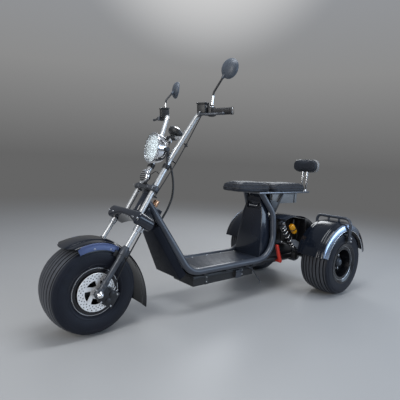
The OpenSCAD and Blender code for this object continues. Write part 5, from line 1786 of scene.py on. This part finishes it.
@dataclass
class Seating:
    """Riser, pan, cushions, backrest and the case under the passenger seat."""

    post_x: float = -1776.0
    post_y: float = 20.0
    post_r: float = 8.0
    post_foot: float = 690.0
    post_top: float = 842.0
    handle_y: float = 38.0
    riser_front: float = -1158.6
    riser_foot: float = 246.0
    riser_lean: float = 48 / 438
    recess_half: float = 57.0
    recess: tuple[float, float] = (577.0, 625.0)
    piping_low: float = 720.0
    piping_top: float = 742.0
    rider_seams: tuple[float, ...] = (-1080.0, -1160.0)
    passenger_seams: tuple[float, ...] = (-1360.0, -1470.0, -1570.0)
    pad_seam: float = -1782.0
    pad_back: float = -1802.0
    pad_low: float = 836.0
    pad_top: float = 938.0

    def supports(self) -> None:
        """Riser with its recess and handle, pan, struts with gussets and the backrest's posts."""
        rounded("seat_riser", "moulded", 4.0, Body.FRAME, GLOSS)
        rounded("seat_pan", "pressed", 2.0, Body.FRAME, PAN)
        rounded("seat_struts", "welded", 2.0, Body.FRAME, DARK_STEEL)
        posts = Shape().node("backrest_posts", 1.0)
        collar = [(8, 0), (12, 0), (12, 5), (10, 8), (8, 8)]
        for y in (-self.post_y, self.post_y):
            foot = Vector((self.post_x, y, self.post_foot))
            posts.rod(foot, Vector((self.post_x, y, self.post_top)), self.post_r, 1.0)
            posts.lathe(collar, Matrix.Translation(foot + UP * 2), 24, True)
        posts.piece("backrest_posts_welded", Body.FRAME, CHROME, ["backrest_posts"])
        handle, rim = Shape(), Shape()
        corners = ((-1216, self.handle_y, 614), (-1194, self.handle_y, 597))
        grip = [Vector(c) for c in corners] + [Vector((x, -y, z)) for x, y, z in reversed(corners)]
        handle.pipe(bent(grip, [9, 9]), 3.4, 12).piece("recess_handle", Body.FRAME, CHROME)
        half, (low, top) = self.recess_half, self.recess
        opening = [Vector((self.riser_front - (z - self.riser_foot) * self.riser_lean, y, z))
                   for y, z in ((-half, low), (half, low), (half, top), (-half, top))]
        rim.pipe(opening, 2.2, 8, cyclic=True).piece("recess_rim", Body.FRAME, PLASTIC)

    def cushions(self) -> None:
        """The two seats, and the backrest's pad and shell."""
        piping = [(UP * self.piping_top, UP), (UP * self.piping_low, UP)]
        for seat, seams in (("rider_seat", self.rider_seams), ("passenger_seat", self.passenger_seams)):
            Cushion(seat, seat + "_stuffed", -UP, piping, [(FORWARD * x, FORWARD) for x in seams]).build()
        pad_piping = [(FORWARD * self.pad_seam, FORWARD)]
        Cushion("backrest_pad", "backrest_pad_stuffed", -FORWARD, pad_piping, ends=58.0).build()
        shell = Shape()
        half = [(66, -51), (92, -42), (107, -20), (107, 20), (92, 42), (66, 51)]
        outline = half + [(-y, z) for y, z in reversed(half)]
        middle = (self.pad_low + self.pad_top) / 2
        upright = Matrix(((0, 0, 1, self.pad_back - 7), (1, 0, 0, 0), (0, 1, 0, middle), (0, 0, 0, 1)))
        shell.plate(outline, 28, upright, 8, segments=4).piece("backrest_shell", Body.FRAME, GREY_CASE)

    def case(self) -> None:
        """Grey case with its seam and latch."""
        rounded("under_seat_box", "moulded", 12.0, Body.FRAME, GREY_CASE)
        trim = Shape().block((16, 156, 60), Matrix.Translation((-1285, 0, 650)), 5, 3)
        trim.block((5, 182, 70), Matrix.Translation((-1540, 0, 647)), 2, 2)
        trim.block((12, 34, 12), Matrix.Translation((-1606, 0, 672)), 3, 2)
        trim.block((7, 26, 40), Matrix.Translation((-1611, 0, 650)), 3, 2)
        trim.piece("case_trim", Body.FRAME, PLASTIC)

    def build(self) -> None:
        """Every piece of the seat."""
        self.supports()
        self.cushions()
        self.case()


@dataclass
class RearEnd:
    """Arms, shocks, axle, motor, hoops, cover and lamps."""

    shock_top: Vector = field(default_factory=lambda: Vector((-1351, 128, 480)))
    shock_foot: Vector = field(default_factory=lambda: Vector((-1540, 128, 270.3)))
    coil_r: float = 18.5
    wire_r: float = 4.5
    turns: float = 7.0
    cup_top: float = 26.0
    cup_foot: float = 32.0
    lamp: Vector = field(default_factory=lambda: Vector((-1432, 176, 440)))

    def springs(self) -> None:
        """Coil springs wound smoothly, with closed end turns."""
        way = (self.shock_foot - self.shock_top).normalized()
        seat = aim(self.shock_top + way * (self.cup_top + self.wire_r), way)
        length = (self.shock_foot - self.shock_top).length - self.cup_top - self.cup_foot - 2 * self.wire_r
        count = int(self.turns * 28)
        path = []
        for i in range(count + 1):
            share = i / count
            rise = share - 0.055 * math.sin(2 * math.pi * share)
            turn = 2 * math.pi * self.turns * share
            path.append(seat @ Vector((self.coil_r * math.cos(turn), self.coil_r * math.sin(turn),
                                       length * rise)))
        shape = Shape().pipe(path, self.wire_r, 12)
        shape.mirrored().piece("rear_springs_wound", Body.FRAME, STEEL, ["rear_springs"])

    def axle(self) -> None:
        """Arms, shocks, axle housing and motor."""
        rounded("trailing_arms", "welded", 2.5, Body.FRAME, DARK_STEEL)
        rounded("rear_shocks", "turned", 1.5, Body.FRAME, DARK_ALLOY)
        dress(DARK_STEEL, "shock_tube")
        rounded("rear_axle_housing", "cast", 3.0, Body.FRAME, DARK_ALLOY)
        rounded("motor", "cased", 4.0, Body.FRAME, DARK_ALLOY)

    def brackets(self) -> None:
        """Feet of the hoops, bolts, plates beside the shocks and the panel ahead of the axle."""
        feet, bolts = Shape(), Shape()
        feet.block((34, 5, 62), Matrix.Translation((REAR_X, 469, 404)), 2, 2)
        for z in (386, 408):
            bolts.bolt(Vector((REAR_X, 488, z)), LEFT, 11)
        for end in (self.shock_foot, self.shock_top):
            bolts.bolt(end + LEFT * 25, LEFT, 16, 10)
            feet.rod(end - LEFT * 8, end + LEFT * 26, 9, 1)
        for z in (190, 260):
            bolts.bolt(Vector((-1436, 50, z)), FORWARD, 12)
        bolts.mirrored().piece("rear_bolts", Body.FRAME, STEEL)
        for y in (40, 120):
            feet.block((8, 16, 170), Matrix.Translation((-1570, y, 400)), 3, 2)
        half = [(150, 300), (186, 318), (186, 470), (172, 500)]
        panel = half + [(-y, z) for y, z in reversed(half)]
        stand = Matrix(((0, 0, 1, -1576), (1, 0, 0, 0), (0, 1, 0, 0), (0, 0, 0, 1)))
        feet.mirrored().plate(panel, 5, stand, 1.5).piece("rear_brackets", Body.FRAME, RIM_BLACK)
        plates = Shape()
        outline = [(-1448, 356), (-1462, 340), (-1556, 262), (-1560, 286), (-1548, 330), (-1500, 352)]
        upright = Matrix(((1, 0, 0, 0), (0, 0, -1, 152), (0, 1, 0, 0), (0, 0, 0, 1)))
        plates.plate(outline, 4, upright, 1, corner=6)
        plates.mirrored().piece("shock_plates", Body.FRAME, PALE)

    def body(self) -> None:
        """Hoops, cover, lamps and the red-sleeved lever."""
        dress(SATIN, "mudguard_hoops")
        self.brackets()
        rounded("rear_cover", "pressed", 1.2, Body.FRAME, GLOSS)
        rounded("tail_lamps", "moulded", 2.0, Body.FRAME, RED_LENS)
        lens, stalk = Shape(), Shape()
        reach, r = Vector((16, 0, 18)), 20.0
        outline = [*((r * math.sin(a), -r * math.cos(a)) for a in (0, 0.3, 0.6, 0.9, 1.2, 1.5)),
                   *((r * math.sin(a), 2 * reach.length - r * math.cos(a))
                     for a in (1.65, 1.95, 2.25, 2.55, 2.85, math.pi))]
        lens.lathe(outline, aim(self.lamp - reach, reach), 32)
        lens.mirrored().piece("indicators_moulded", Body.FRAME, AMBER, ["indicators"])
        stalk.rod(self.lamp, self.lamp + UP * 66, 5.2)
        ring = [(19, -4), (21.4, -4), (22, -3), (22, 3), (21.4, 4), (19, 4)]
        stalk.lathe(ring, aim(self.lamp, reach), 36, True)
        stalk.mirrored().piece("indicator_stalks", Body.FRAME, PLASTIC)
        rounded("red_lever", "sleeved", 3.0, Body.FRAME, RED_SLEEVE)
        rings = Shape()
        turn = math.radians(152)
        way = Vector((math.cos(turn), 0, math.sin(turn)))
        ring = [(25.2, -5), (29, -5), (30, -3.5), (30, 5), (28.6, 7), (25.2, 7)]
        rings.lathe(ring, aim(Vector((REAR_X, REAR_Y, TYRE_R)) + way * 291, way), 40, True)
        rings.mirrored().piece("tail_lamp_rings", Body.FRAME, CHROME)

    def build(self) -> None:
        """Every piece of the rear end."""
        self.springs()
        self.axle()
        self.body()


def main() -> None:
    """Builds the tricycle's looks."""
    logging.basicConfig(level=logging.INFO, format="%(message)s")
    Studio().build()
    Loom().build()
    FrontWheel(Body.FRONT_WHEEL, "front_tyre", "front_rim", Vector((0, 0, TYRE_R))).build()
    for body, side, outward in ((Body.REAR_LEFT, "left", 1.0), (Body.REAR_RIGHT, "right", -1.0)):
        middle = Vector((REAR_X, outward * REAR_Y, TYRE_R))
        RearWheel(body, "rear_tyre_" + side, "rear_rim_" + side, middle, outward).build()
    Fork().build()
    Cockpit().build()
    FrontLamps().build()
    Mudguards().build()
    Chassis().build()
    Seating().build()
    RearEnd().build()


if __name__ == "__main__":
    main()
